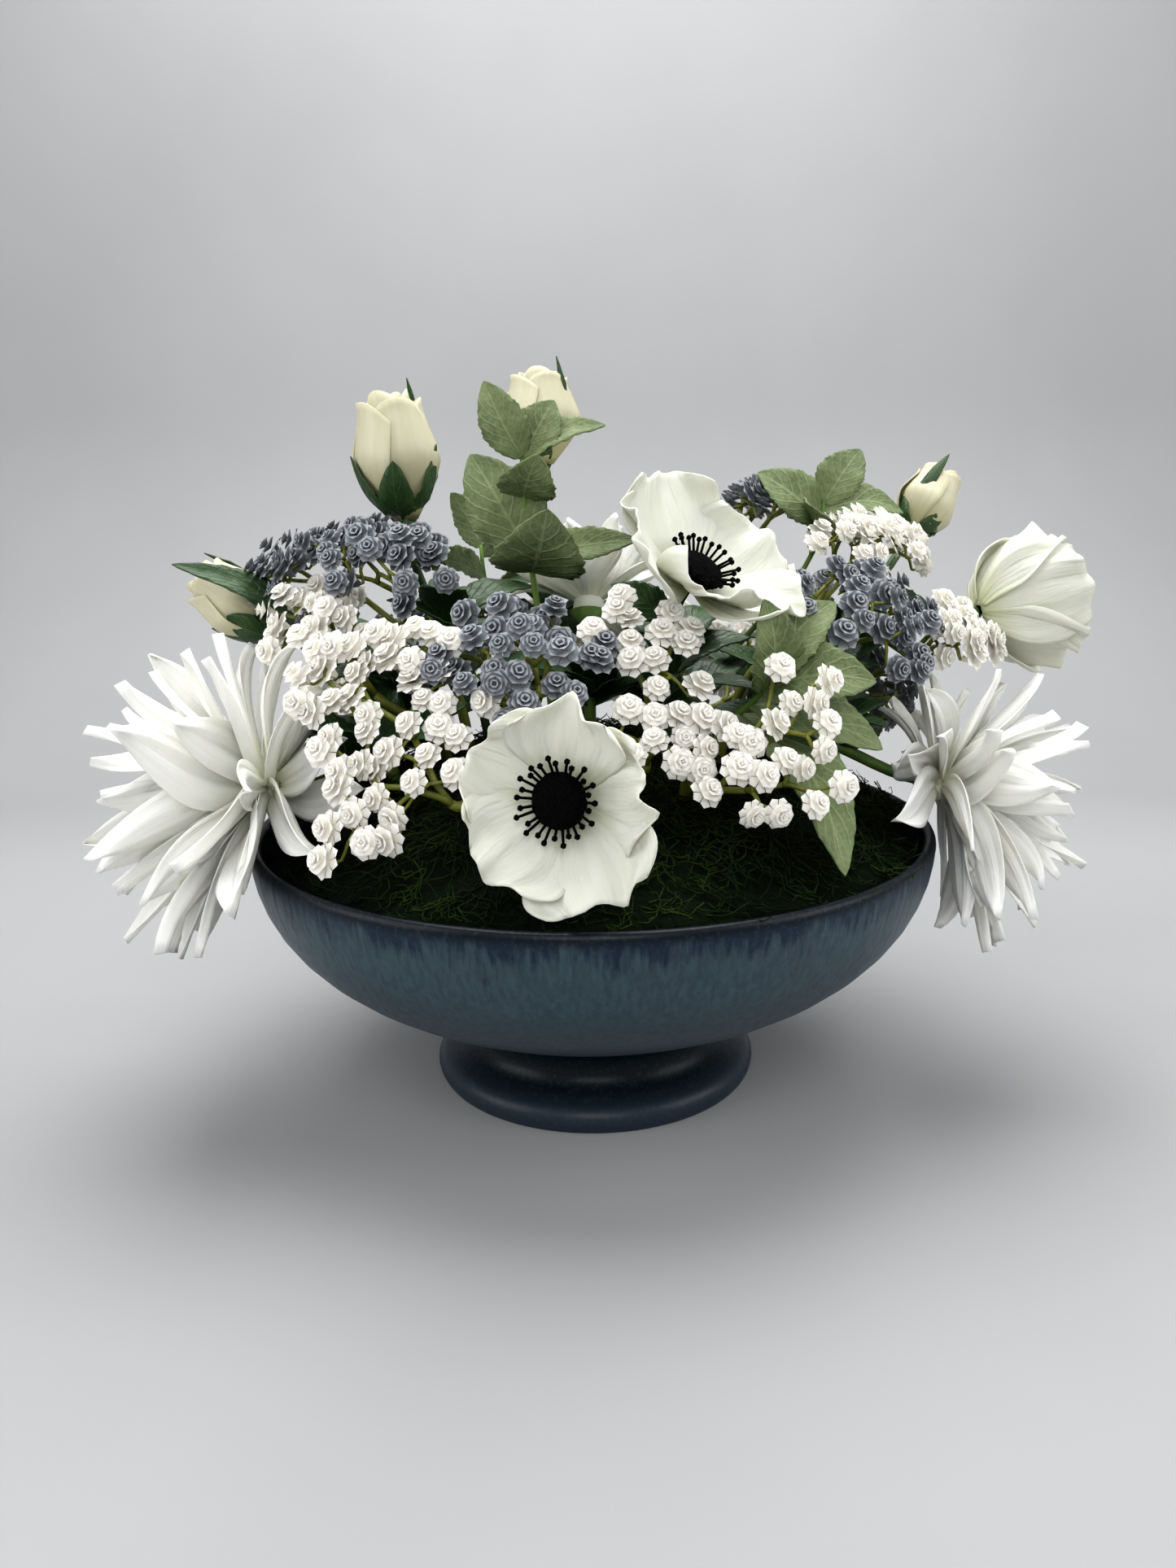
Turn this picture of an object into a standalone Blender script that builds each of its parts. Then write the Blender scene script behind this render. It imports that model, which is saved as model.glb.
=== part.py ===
"""Flower arrangement in a footed, glazed bowl.

The bowl is turned. It holds a cut block of floral foam and a mound of moss,
and every stem stands in a plain hole through the moss and in the foam.
Above it stand three spidery dahlias, four anemones with black eyes, four
rose buds, sage leaf sprigs and sprays of small white and blue rosettes.

Metres, +Z up, the origin under the middle of the foot, the front at -Y.
Numbers in the tables below are millimetres, turned to metres by mm().
"""

import math
import random

import bmesh
import bpy
from mathutils import Matrix, Vector
from mathutils.bvhtree import BVHTree
from mathutils.geometry import interpolate_bezier

MM = 0.001
GAP = 0.3

# Bowl
BOWL_RADIUS = 127.0
BOWL_HEIGHT = 99.7
BODY_BOTTOM = 25.0
BODY_FULLNESS = 2.15
WALL = 5.0
FLOOR_RADIUS = 34.0
FLOOR_RISE = 0.8
FOOT_RADIUS = 62.4
FOOT_LIP = 9.5
FOOT_RING = 9.0
FOOT_RECESS = 16.0
WAIST_RADIUS = 49.0
WAIST_HEIGHT = 19.0
BOWL_STEPS = 28

# Foam and moss
FOAM_RADIUS = 92.0
FOAM_TOP = 88.0
FOAM_STEPS = 12
MOSS_RISE = 32.0
MOSS_RADIUS = 121.0
MOSS_EDGE = 96.0
MOSS_RELIEF = 3.0
MOSS_STEPS = 22

# Stems
STEM_FOOT = 66.0
STEM_LEAN = 0.8
STEM_LIFT = 4.0
STEM_POINTS = 4
DAHLIA_STEM = 2.2
FLOWER_STEM = 1.8
SPRIG_STEM = (1.3, 1.0)
SPRAY_STEM = (1.5, 1.2)
HOLE_CLEARANCE = 0.9
HOLE_SIDES = 4
CLEARANCE = 0.5

# Faces that bend less than this, in degrees, count as flat after a union
FLAT_ANGLE = 1.5

GOLDEN_TURN = math.pi * (3.0 - math.sqrt(5.0))

# Petal and leaf sizes
BLADE = 0.9
DAHLIA_CORE = 8.0
CORE_SQUASH = 0.9
PETAL_ROOT = 4.8
DAHLIA_PETAL = (4.6, 15.0, 12.5)
ANEMONE_DISC = 8.0
ANEMONE_BACK = 3.9
PETAL_HALVES = (5.0, 17.5, 12.0)
ANEMONE_EYE = 7.0
ANEMONE_STAMEN = 12.6
STAMENS = 8
ROSE_PETALS = 4
SEPALS = 4

# Half width of a leaf at each row from its stalk to its tip, with a tooth at every other row
LEAF_ROWS = 6
LEAF_OUTLINE = (0.0, 0.16, 0.98, 0.84, 0.92, 0.52, 0.0)

# Small rosettes, larger than life here because each one stands for several
ROSETTE_RADIUS = 8.0
ROSETTE_SPACING = 12.5
ROSETTE_LOBES = 3
ROSETTE_NOTCH = 0.84
TWIG = 0.75

# Colour, roughness of each finish
FINISHES = {
    "glaze": ((0.095, 0.150, 0.205), 0.32),
    "foam": ((0.060, 0.130, 0.055), 0.95),
    "moss": ((0.020, 0.055, 0.012), 0.95),
    "white_petal": ((0.860, 0.870, 0.820), 0.50),
    "ivory_petal": ((0.850, 0.820, 0.640), 0.52),
    "black_eye": ((0.006, 0.006, 0.008), 0.55),
    "green_stem": ((0.170, 0.240, 0.050), 0.55),
    "rose_green": ((0.025, 0.085, 0.020), 0.50),
    "sage_leaf": ((0.250, 0.340, 0.200), 0.70),
    "white_spray": ((0.860, 0.850, 0.790), 0.60),
    "blue_spray": ((0.170, 0.210, 0.290), 0.60),
}

# Polar angle from the bloom's axis, petal count, length and backward curl of each ring
OPEN_RINGS = ((14, 3, 59, 5), (38, 5, 60, 9), (61, 6, 61, 16), (85, 7, 59, 22), (107, 4, 48, 16))
HALF_OPEN_RINGS = ((12, 3, 44, 4), (36, 5, 47, 14), (60, 7, 44, 22))

# Name, where the stem leaves the moss, bloom base, axis, rings
DAHLIAS = (
    ("dahlia_left", (-72, -20), (-121, -33, 121), (-0.95, -0.28, 0.10), OPEN_RINGS),
    ("dahlia_right", (74, -9), (124, -15, 115), (0.91, -0.26, -0.18), OPEN_RINGS),
    ("dahlia_back", (0, 24), (0, 36, 176), (0.02, 0.42, 0.90), HALF_OPEN_RINGS),
)

# Name, where the stem leaves the moss, centre, facing, petal lengths, depth of the cup, first petal's turn
ANEMONES = (
    ("anemone_front", (-8, -70), (-8, -109, 134), (-0.03, -0.95, 0.31), (34, 31, 33, 31, 33), 5.0, 18),
    ("anemone_top", (30, -16), (41, -40, 192), (0.10, -0.66, 0.74), (37, 34, 33, 35, 34), 13.0, 55),
    ("anemone_right", (73, 5), (148, 4, 174), (0.90, 0.40, -0.08), (36, 35, 34, 36, 35), 17.0, 30),
    ("anemone_back", (20, 72), (26, 108, 146), (0.12, 0.95, 0.30), (34, 33, 34, 33, 34), 6.0, 10),
)

# Name, where the stem leaves the moss, bud base, axis, bud height
ROSES = (
    ("rose_top_left", (-40, 10), (-66, 15, 209), (-0.10, -0.03, 1.00), 42),
    ("rose_left", (-62, 11), (-119, 17, 171), (-0.80, 0.05, 0.55), 38),
    ("rose_back", (-14, 50), (-19, 74, 234), (-0.02, 0.10, 1.00), 38),
    ("rose_back_right", (62, 34), (134, 66, 202), (0.50, 0.30, 0.80), 32),
)

# Dark leaves on rose and anemone stems: owner, base, tip, width, side that the blade faces
STEM_LEAVES = (
    ("rose_left", (-102, 13, 158), (-147, -10, 199), 15, (0.2, -0.6, 0.75)),
    ("anemone_top", (33, -26, 176), (8, -32, 190), 13, (0.0, -0.8, 0.6)),
    ("rose_back_right", (112, 62, 176), (146, 72, 168), 18, (0.2, 0.1, 0.95)),
)

# Sprig: name, where it leaves the moss, route above, then leaves as base, tip, width, facing
SAGE_SPRIGS = (
    ("sage_sprig_top", (-14, -8), (-22, -20, 232), (
        ((-24, -20, 231), (-35, -22, 258), 15, (0.1, -0.95, 0.2)),
        ((-21, -19, 232), (-10, -17, 252), 15, (-0.2, -0.95, 0.1)),
        ((-20, -20, 227), (5, -22, 242), 13, (-0.3, -0.35, 0.85)),
        ((-22, -23, 222), (-10, -37, 226), 15, (0.0, -0.75, 0.65)),
        ((-24, -18, 204), (-42, -14, 234), 22, (0.2, -0.95, 0.2)),
        ((-18, -24, 196), (-38, -42, 205), 26, (0.25, -0.75, 0.6)),
        ((-17, -20, 194), (16, -20, 206), 14, (-0.2, -0.6, 0.75)),
    )),
    ("sage_sprig_right", (42, -32), (60, -50, 166), (
        ((58, -52, 156), (59, -70, 180), 13, (0.2, -0.97, 0.1)),
        ((61, -49, 164), (86, -44, 184), 20, (-0.2, -0.9, 0.3)),
        ((60, -52, 152), (90, -62, 158), 22, (-0.1, -0.7, 0.7)),
        ((57, -50, 142), (94, -56, 138), 17, (0.2, -0.6, 0.75)),
        ((54, -48, 136), (78, -92, 108), 22, (0.3, -0.5, 0.8)),
    )),
    ("sage_sprig_back_right", (44, 26), (94, 44, 216), (
        ((94, 44, 215), (108, 46, 235), 14, (-0.3, -0.9, 0.3)),
        ((94, 46, 212), (128, 52, 210), 15, (0.0, -0.4, 0.9)),
        ((90, 42, 208), (68, 44, 226), 17, (0.2, -0.8, 0.5)),
        ((86, 42, 200), (84, 22, 214), 16, (0.1, -0.6, 0.8)),
    )),
    ("sage_sprig_back_left", (-28, 64), (-46, 80, 200), (
        ((-47, 80, 199), (-58, 84, 222), 17, (0.3, 0.9, 0.2)),
        ((-45, 81, 196), (-28, 90, 210), 16, (-0.2, 0.9, 0.4)),
        ((-44, 78, 186), (-68, 82, 196), 20, (0.2, 0.6, 0.75)),
        ((-42, 78, 178), (-20, 98, 182), 20, (-0.2, 0.6, 0.75)),
    )),
)

# Spray: name, colour, where it leaves the moss, fork, middle of the dome, its axis, half sizes, heads
SPRAYS = (
    ("white_spray_front_left", "white_spray", (-36, -68), (-44, -80, 132),
     (-62, -84, 146), (-0.40, -0.50, 0.76), (33, 31, 17), 13),
    ("white_spray_centre", "white_spray", (16, -44), (18, -56, 138),
     (19, -66, 160), (0.00, -0.40, 0.92), (24, 20, 18), 10),
    ("white_spray_right", "white_spray", (32, -54), (38, -70, 132),
     (54, -84, 142), (0.35, -0.60, 0.72), (26, 22, 14), 10),
    ("blue_spray_centre", "blue_spray", (-16, -36), (-20, -48, 142),
     (-24, -54, 160), (-0.05, -0.35, 0.94), (32, 22, 20), 11),
    ("blue_spray_right", "blue_spray", (48, -14), (74, -18, 158),
     (94, -22, 174), (0.30, -0.30, 0.90), (30, 20, 16), 10),
    ("white_spray_left", "white_spray", (-54, -10), (-78, -12, 152),
     (-92, -14, 168), (-0.20, -0.30, 0.93), (22, 18, 14), 9),
    ("blue_spray_left", "blue_spray", (-46, -2), (-66, 2, 172),
     (-84, 4, 190), (-0.15, -0.10, 0.98), (40, 16, 14), 10),
    ("white_spray_back_right", "white_spray", (54, 20), (86, 24, 176),
     (108, 28, 190), (0.30, -0.05, 0.95), (24, 18, 14), 8),
    ("white_spray_far_right", "white_spray", (72, 20), (112, 28, 150),
     (138, 30, 158), (0.70, -0.05, 0.70), (20, 18, 10), 8),
    ("blue_spray_back_right", "blue_spray", (34, 38), (56, 54, 188),
     (70, 62, 204), (0.20, 0.20, 0.95), (24, 20, 12), 8),
    ("blue_spray_back_left", "blue_spray", (-32, 44), (-50, 58, 146),
     (-62, 70, 160), (-0.40, 0.35, 0.85), (30, 22, 16), 9),
    ("white_spray_back_low_right", "white_spray", (40, 56), (58, 76, 132),
     (72, 92, 142), (0.45, 0.65, 0.60), (30, 24, 14), 8),
    ("white_spray_back_centre", "white_spray", (-4, 64), (-8, 84, 146),
     (-14, 98, 156), (-0.15, 0.60, 0.78), (26, 20, 14), 8),
    ("white_spray_back_low_left", "white_spray", (-62, 32), (-84, 42, 128),
     (-104, 54, 136), (-0.70, 0.45, 0.55), (28, 22, 12), 8),
    ("blue_spray_back_low_right", "blue_spray", (66, 48), (90, 42, 132),
     (110, 50, 140), (0.70, 0.45, 0.55), (26, 22, 12), 8),
)

obstacles = {}
holes = []


def mm(*values):
    """A point or direction given in millimetres, as a vector in metres."""
    return Vector(values) * MM


def cleared_scene():
    """Empty the scene and return the collections for the parts and the cutters."""
    for item in list(bpy.data.objects):
        bpy.data.objects.remove(item, do_unlink=True)
    parts = bpy.data.collections.new("flower_arrangement_in_bowl")
    cutters = bpy.data.collections.new("stem_holes")
    for group in (parts, cutters):
        bpy.context.scene.collection.children.link(group)
    return parts, cutters


PARTS, CUTTERS = cleared_scene()


def finish(node, kind):
    """Give a node its own plain material of one of the named finishes."""
    colour, roughness = FINISHES[kind]
    material = bpy.data.materials.new(node.name + "_finish")
    material.use_nodes = True
    shader = material.node_tree.nodes["Principled BSDF"]
    shader.inputs["Base Color"].default_value = (*colour, 1.0)
    shader.inputs["Roughness"].default_value = roughness
    shader.inputs["Metallic"].default_value = 0.0
    material.diffuse_color = (*colour, 1.0)
    node.data.materials.clear()
    node.data.materials.append(material)


def loose_object(shape, name="piece", group=None):
    """Turn a bmesh into an object in the given collection."""
    mesh = bpy.data.meshes.new(name)
    bmesh.ops.recalc_face_normals(shape, faces=shape.faces[:])
    shape.to_mesh(mesh)
    shape.free()
    item = bpy.data.objects.new(name, mesh)
    (group or bpy.context.scene.collection).objects.link(item)
    return item


def evaluated_mesh(item):
    """The mesh of an object with its modifiers or bevel worked out."""
    bpy.context.view_layer.update()
    graph = bpy.context.evaluated_depsgraph_get()
    return bpy.data.meshes.new_from_object(item.evaluated_get(graph))


def is_closed(shape):
    """True where every edge has a face on both sides."""
    return all(len(edge.link_faces) == 2 for edge in shape.edges)


def flats_joined(shape):
    """A copy with its flat neighbours joined, or the same shape where that would open it."""
    plain = shape.copy()
    bmesh.ops.dissolve_limit(plain, angle_limit=math.radians(FLAT_ANGLE), verts=plain.verts[:],
                             edges=plain.edges[:], use_dissolve_boundaries=False)
    bmesh.ops.triangulate(plain, faces=plain.faces[:])
    return plain if is_closed(plain) else shape


def main_body(mesh):
    """Keep a fused mesh's outer skin and drop sealed hollows and loose scraps."""
    shape = bmesh.new()
    shape.from_mesh(mesh)
    bmesh.ops.triangulate(shape, faces=shape.faces[:])
    left = set(shape.faces)
    bodies = []
    while left:
        seed = left.pop()
        body = [seed]
        for face in body:
            for edge in face.edges:
                for other in edge.link_faces:
                    if other in left:
                        left.discard(other)
                        body.append(other)
        volume = sum(f.verts[0].co.dot(f.verts[1].co.cross(f.verts[2].co)) for f in body)
        bodies.append((volume, len(bodies), body))
    bodies.sort(key=lambda entry: entry[:2])
    scraps = [face for entry in bodies[:-1] for face in entry[2]]
    bmesh.ops.delete(shape, geom=scraps, context="FACES")
    flats_joined(shape).to_mesh(mesh)


def fuse(name, pieces, kind, origin):
    """Join the pieces of a node in one solid by a union on a collection."""
    base, rest = pieces[0], pieces[1:]
    if rest:
        group = bpy.data.collections.new("joined")
        bpy.context.scene.collection.children.link(group)
        for item in rest:
            bpy.context.scene.collection.objects.unlink(item)
            group.objects.link(item)
        union = base.modifiers.new("join", "BOOLEAN")
        union.operation = "UNION"
        union.solver = "MANIFOLD"
        union.operand_type = "COLLECTION"
        union.collection = group
        mesh = evaluated_mesh(base)
        base.modifiers.clear()
        base.data = mesh
        for item in rest:
            bpy.data.objects.remove(item, do_unlink=True)
        bpy.data.collections.remove(group)
    main_body(base.data)
    return settled(base, name, kind, origin)


def remember(name, mesh):
    """Keep a node's skin, so that later pieces can be tested against it."""
    points = [vert.co.copy() for vert in mesh.vertices]
    faces = [tuple(face.vertices) for face in mesh.polygons]
    obstacles[name] = BVHTree.FromPolygons(points, faces, epsilon=CLEARANCE * MM)


def settled(item, name, kind, origin):
    """Name a finished node, put its origin in place and remember it as an obstacle."""
    item.name = name
    item.data.name = name
    remember(name, item.data)
    place = mm(*origin)
    item.data.transform(Matrix.Translation(-place))
    item.location = place
    for group in list(item.users_collection):
        group.objects.unlink(item)
    PARTS.objects.link(item)
    finish(item, kind)
    return item


def is_clear(shapes, skip=()):
    """True where none of the bmeshes comes near a node that is already settled."""
    for shape in shapes:
        tree = BVHTree.FromBMesh(shape, epsilon=CLEARANCE * MM)
        for name, other in obstacles.items():
            if name not in skip and tree.overlap(other):
                return False
    return True


def frame_about(axis):
    """Two directions across an axis, the first as level as it can be."""
    axis = axis.normalized()
    side = Vector((0, 0, 1)).cross(axis)
    if side.length < 0.05:
        side = Vector((1, 0, 0))
    side.normalize()
    return side, axis.cross(side)


def turned(name, profile, steps):
    """An open profile of (radius, height) points, turned about the Z axis by a Screw."""
    mesh = bpy.data.meshes.new(name)
    points = [mm(radius, 0, height) for radius, height in profile]
    mesh.from_pydata(points, [(k, k + 1) for k in range(len(points) - 1)], [])
    item = bpy.data.objects.new(name, mesh)
    PARTS.objects.link(item)
    screw = item.modifiers.new("turn", "SCREW")
    screw.axis = "Z"
    screw.angle = math.tau
    screw.steps = steps
    screw.render_steps = steps
    screw.use_merge_vertices = True
    screw.merge_threshold = 0.00001
    return item


def rod(start, end, radius, end_radius, sides=3):
    """A straight tapered rod between two points, as a bmesh."""
    shape = bmesh.new()
    span = end - start
    turn = span.to_track_quat("Z", "Y").to_matrix().to_4x4()
    place = Matrix.Translation((start + end) / 2) @ turn
    bmesh.ops.create_cone(shape, cap_ends=True, segments=sides, radius1=radius * MM,
                          radius2=end_radius * MM, depth=span.length, matrix=place)
    return shape


def ball(centre, radius, across=6, down=4, squash=1.0, axis=Vector((0, 0, 1))):
    """A round or flattened ball on an axis, as a bmesh."""
    shape = bmesh.new()
    turn = axis.to_track_quat("Z", "Y").to_matrix().to_4x4()
    place = Matrix.Translation(centre) @ turn @ Matrix.Diagonal((1, 1, squash, 1))
    bmesh.ops.create_uvsphere(shape, u_segments=across, v_segments=down, radius=radius * MM,
                              matrix=place)
    return shape


def loft(rings):
    """A closed skin over rings of equal count; a last ring in one spot makes a tip."""
    shape = bmesh.new()
    lines = [[shape.verts.new(point) for point in ring] for ring in rings]
    for low, high in zip(lines, lines[1:]):
        for k in range(len(low)):
            n = (k + 1) % len(low)
            shape.faces.new((low[k], low[n], high[n], high[k]))
    shape.faces.new(lines[0])
    shape.faces.new(lines[-1])
    bmesh.ops.remove_doubles(shape, verts=shape.verts[:], dist=0.00001)
    bmesh.ops.dissolve_degenerate(shape, edges=shape.edges[:], dist=0.00001)
    bmesh.ops.triangulate(shape, faces=shape.faces[:])
    bmesh.ops.recalc_face_normals(shape, faces=shape.faces[:])
    return shape


def sheet(place, across, along):
    """A thin blade: a grid moved by place(u, v), split in triangles, then thickened."""
    shape = bmesh.new()
    bmesh.ops.create_grid(shape, x_segments=across, y_segments=along, size=1.0)
    for vert in shape.verts:
        vert.co = place(vert.co.x, (vert.co.y + 1) / 2)
    bmesh.ops.remove_doubles(shape, verts=shape.verts[:], dist=0.00001)
    bmesh.ops.triangulate(shape, faces=shape.faces[:])
    bmesh.ops.solidify(shape, geom=shape.faces[:], thickness=BLADE * MM)
    bmesh.ops.recalc_face_normals(shape, faces=shape.faces[:])
    return shape


def tube(route, radius, end_radius):
    """A stem along a route, as a curve with a bevel made a mesh object."""
    data = bpy.data.curves.new("route", "CURVE")
    data.dimensions = "3D"
    spline = data.splines.new("POLY")
    spline.points.add(len(route) - 1)
    for index, (point, place) in enumerate(zip(spline.points, route)):
        share = index / (len(route) - 1)
        point.co = (*place, 1.0)
        point.radius = 1 + (end_radius / radius - 1) * share
    data.bevel_depth = radius * MM
    data.bevel_resolution = 0
    data.use_fill_caps = True
    guide = bpy.data.objects.new("route", data)
    bpy.context.scene.collection.objects.link(guide)
    shape = bmesh.new()
    shape.from_mesh(evaluated_mesh(guide))
    bmesh.ops.remove_doubles(shape, verts=shape.verts[:], dist=0.000001)
    bpy.data.objects.remove(guide, do_unlink=True)
    return shape


def moss_height(x, y):
    """Height of the smooth mound, in millimetres, at a place in millimetres."""
    return BOWL_HEIGHT + MOSS_RISE * (1 - (math.hypot(x, y) / MOSS_RADIUS) ** 2)


def stem_route(root, head, arrive, radius):
    """Straight up through the foam and moss, then one smooth bend to the head."""
    x, y = root
    low = mm(x * STEM_LEAN, y * STEM_LEAN, STEM_FOOT)
    out = mm(x, y, moss_height(x, y) + STEM_LIFT)
    rise = (out - low).normalized()
    hold = (head - out).length * 0.4
    bend = interpolate_bezier(out, out + rise * hold, head - arrive.normalized() * hold,
                              head, STEM_POINTS)
    holes.append((low - rise * MM, out + rise * 2 * MM, radius + HOLE_CLEARANCE))
    return [low, *bend]


def body_radius(height, inset=0.0):
    """Radius of the bowl's body at a height, on its outside or inset from it."""
    share = (BOWL_HEIGHT - height) / (BOWL_HEIGHT - BODY_BOTTOM - inset)
    return (BOWL_RADIUS - inset) * (1 - share ** BODY_FULLNESS) ** (1 / BODY_FULLNESS)


def make_bowl():
    """The footed bowl: a full body, a hollow waist, and a foot with a rounded lip."""
    floor = BODY_BOTTOM + WALL
    inner = [(0, floor), (FLOOR_RADIUS, floor + FLOOR_RISE)]
    inner += [(body_radius(z, WALL), z) for z in (37, 47, 62, 82)]
    rim = [(BOWL_RADIUS - 4.6, 97.2), (BOWL_RADIUS - 2.2, BOWL_HEIGHT), (BOWL_RADIUS, 97.6)]
    outer = [(body_radius(z), z) for z in (84, 68, 53, 41, 32)]
    waist = [(WAIST_RADIUS + 3.0, 25.5), (WAIST_RADIUS, WAIST_HEIGHT), (WAIST_RADIUS + 2.6, 13.5)]
    foot = [(FOOT_RADIUS - 4.6, FOOT_LIP), (FOOT_RADIUS - 0.8, FOOT_LIP - 2.2),
            (FOOT_RADIUS, 4.6), (FOOT_RADIUS - 1.6, 0)]
    under = [(FOOT_RADIUS - FOOT_RING, 0), (FOOT_RADIUS - FOOT_RING - 10, FOOT_RECESS), (0, FOOT_RECESS)]
    bowl = turned("bowl", inner + rim + outer + waist + foot + under, BOWL_STEPS)
    bowl.data.shade_smooth()
    finish(bowl, "glaze")
    remember("bowl", evaluated_mesh(bowl))


def make_foam():
    """A block of foam cut to the bowl, lying on its floor."""
    floor = BODY_BOTTOM + WALL + FLOOR_RISE + GAP
    wall = [(body_radius(z, WALL) - 1.6, z) for z in (62, 47, 37)]
    profile = [(0, FOAM_TOP), (FOAM_RADIUS, FOAM_TOP)] + wall + [(FLOOR_RADIUS, floor), (0, floor)]
    foam = turned("floral_foam", profile, FOAM_STEPS)
    finish(foam, "foam")
    return foam


def make_moss():
    """A mound of moss on the foam, from rim to rim, with a lumpy top."""
    top = [(r, moss_height(r, 0)) for r in (0, 28, 54, 78, 98, 110, 117)]
    edge = [(MOSS_RADIUS - 0.4, MOSS_EDGE + 1.6), (MOSS_RADIUS - 3.6, MOSS_EDGE - 8)]
    under = [(FOAM_RADIUS + 2, FOAM_TOP + GAP), (0, FOAM_TOP + GAP)]
    moss = turned("moss", top + edge + under, MOSS_STEPS)
    mesh = evaluated_mesh(moss)
    moss.modifiers.clear()
    moss.data = mesh
    for vert in mesh.vertices:
        x, y, z = vert.co / MM
        if z > BOWL_HEIGHT + 1:
            lumps = math.sin(x * 0.21 + 1.3) * math.sin(y * 0.24) + math.sin((x + y) * 0.37)
            vert.co.z -= MOSS_RELIEF * (0.5 + 0.25 * lumps) * MM
    finish(moss, "moss")
    remember("moss", mesh)
    return moss


def strap_petal(base, axis, side, polar, length, curl):
    """A long pointed petal with a ridge behind, that curls away from the axis."""
    across = axis.cross(side).normalized()
    rings = []
    steps = (0.0, 0.42, 0.38, 0.20)
    place = base.copy()
    for index, step in enumerate(steps):
        angle = math.radians(polar + curl * (index / 3) ** 2)
        ahead = axis * math.cos(angle) + side * math.sin(angle)
        back = side * math.cos(angle) - axis * math.sin(angle)
        if index == 0:
            place = place + ahead * PETAL_ROOT * MM
        place = place + ahead * (length - PETAL_ROOT) * step * MM
        if index == 3:
            rings.append([place] * 3)
            continue
        half = DAHLIA_PETAL[index] / 2 * MM
        deep = (1.2 + 0.6 * (index == 1)) * MM
        rings.append([place - across * half, place + across * half, place + back * deep])
    return loft(rings)


def dahlia(name, root, base, axis, rings):
    """A spidery bloom: a small core and rings of strap petals, on its own stem."""
    base, axis = mm(*base), Vector(axis).normalized()
    route = stem_route(root, base - axis * (DAHLIA_CORE * CORE_SQUASH + GAP) * MM, axis,
                       DAHLIA_STEM)
    fuse(name + "_stem", [loose_object(tube(route, DAHLIA_STEM, DAHLIA_STEM))], "green_stem",
         route[0] / MM)
    level, steep = frame_about(axis)
    pieces = [loose_object(ball(base, DAHLIA_CORE, 6, 3, CORE_SQUASH, axis))]
    for number, (polar, count, length, curl) in enumerate(rings):
        for k in range(count):
            turn = math.tau * (k + 0.5 * (number % 2)) / count
            side = level * math.cos(turn) + steep * math.sin(turn)
            for bend in range(7):
                petal = strap_petal(base, axis, side, polar - 9 * bend, length, curl)
                if is_clear([petal], (name + "_stem",)):
                    pieces.append(loose_object(petal))
                    break
                petal.free()
    fuse(name + "_bloom", pieces, "white_petal", base / MM)


def anemone(name, root, centre, facing, lengths, cup, first):
    """Five broad petals on a small disc, a black eye with stamens, and a stem."""
    centre, axis = mm(*centre), Vector(facing).normalized()
    level, steep = frame_about(axis)
    disc = rod(centre - axis * ANEMONE_BACK * MM, centre + axis * 0.6 * MM, 5.0, ANEMONE_DISC, 6)
    pieces = [loose_object(disc)]
    for k, length in enumerate(lengths):
        turn = math.tau * k / len(lengths) + math.radians(first)
        side = level * math.cos(turn) + steep * math.sin(turn)
        across = axis.cross(side)
        lift = (0.0, 2.6, 0.9, 3.4, 1.8)[k]

        def place(u, v, side=side, across=across, lift=lift, length=length, turn=turn):
            half = PETAL_HALVES[round(v * 2)]
            reach = 3.0 + (length - 3.0) * v - 4.5 * u * u * v
            wave = 0.8 * math.sin(3.0 * u + turn * 2) * v
            rise = cup * v ** 1.7 - 2.2
            slope = math.atan2(1.7 * cup * v ** 0.7, length)
            inward = axis * math.cos(slope) - side * math.sin(slope)
            spot = side * reach + across * half * u + axis * rise
            return centre + (spot + inward * (lift * min(1.0, 2.5 * v) + wave)) * MM

        pieces.append(loose_object(sheet(place, 3, 2)))
    fuse(name + "_petals", pieces, "white_petal", centre / MM)

    seat = centre + axis * (3.4 + GAP) * MM
    eye = [loose_object(ball(seat, ANEMONE_EYE, 6, 3, 0.42, axis))]
    for k in range(STAMENS):
        turn = math.tau * k / STAMENS
        side = level * math.cos(turn) + steep * math.sin(turn)
        reach = ANEMONE_STAMEN - 1.6 * (k % 2)
        start = seat + (side * 4 + axis * 0.4) * MM
        end = seat + (side * reach + axis * (2.0 + cup * 0.25)) * MM
        eye.append(loose_object(rod(start, end, 0.5, 1.0, 3)))
    fuse(name + "_eye", eye, "black_eye", seat / MM)

    route = stem_route(root, centre - axis * (ANEMONE_BACK + 2 * GAP) * MM, axis, FLOWER_STEM)
    stem = [loose_object(tube(route, FLOWER_STEM, FLOWER_STEM))]
    stem += [loose_object(stem_leaf(entry, route)) for entry in leaves_of(name)]
    fuse(name + "_stem", stem, "rose_green", route[0] / MM)


def leaves_of(owner):
    """The dark leaves that grow on a stem."""
    return [entry for entry in STEM_LEAVES if entry[0] == owner]


def stem_leaf(entry, route):
    """A rose leaf whose stalk end is sunk in the nearest part of its stem."""
    base, tip, width, facing = entry[1:]
    return leaf_blade(closest_on(route, mm(*base)), mm(*tip), width, Vector(facing))


def leaf_blade(base, tip, width, facing):
    """A folded leaf on a short stalk, with a toothed edge, that droops to its tip."""
    along = tip - base
    length = along.length
    ahead = along.normalized()
    across = ahead.cross(facing).normalized()
    up = across.cross(ahead)

    def place(u, v):
        row = round(v * LEAF_ROWS)
        share, half = row / LEAF_ROWS, LEAF_OUTLINE[row] * width * 0.5
        arch = length * 0.10 * math.sin(math.pi * share)
        fold = abs(u) * half * 0.22 * MM
        return base + ahead * length * share + up * (arch + fold) + across * half * u * MM

    return sheet(place, 2, LEAF_ROWS)


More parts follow.
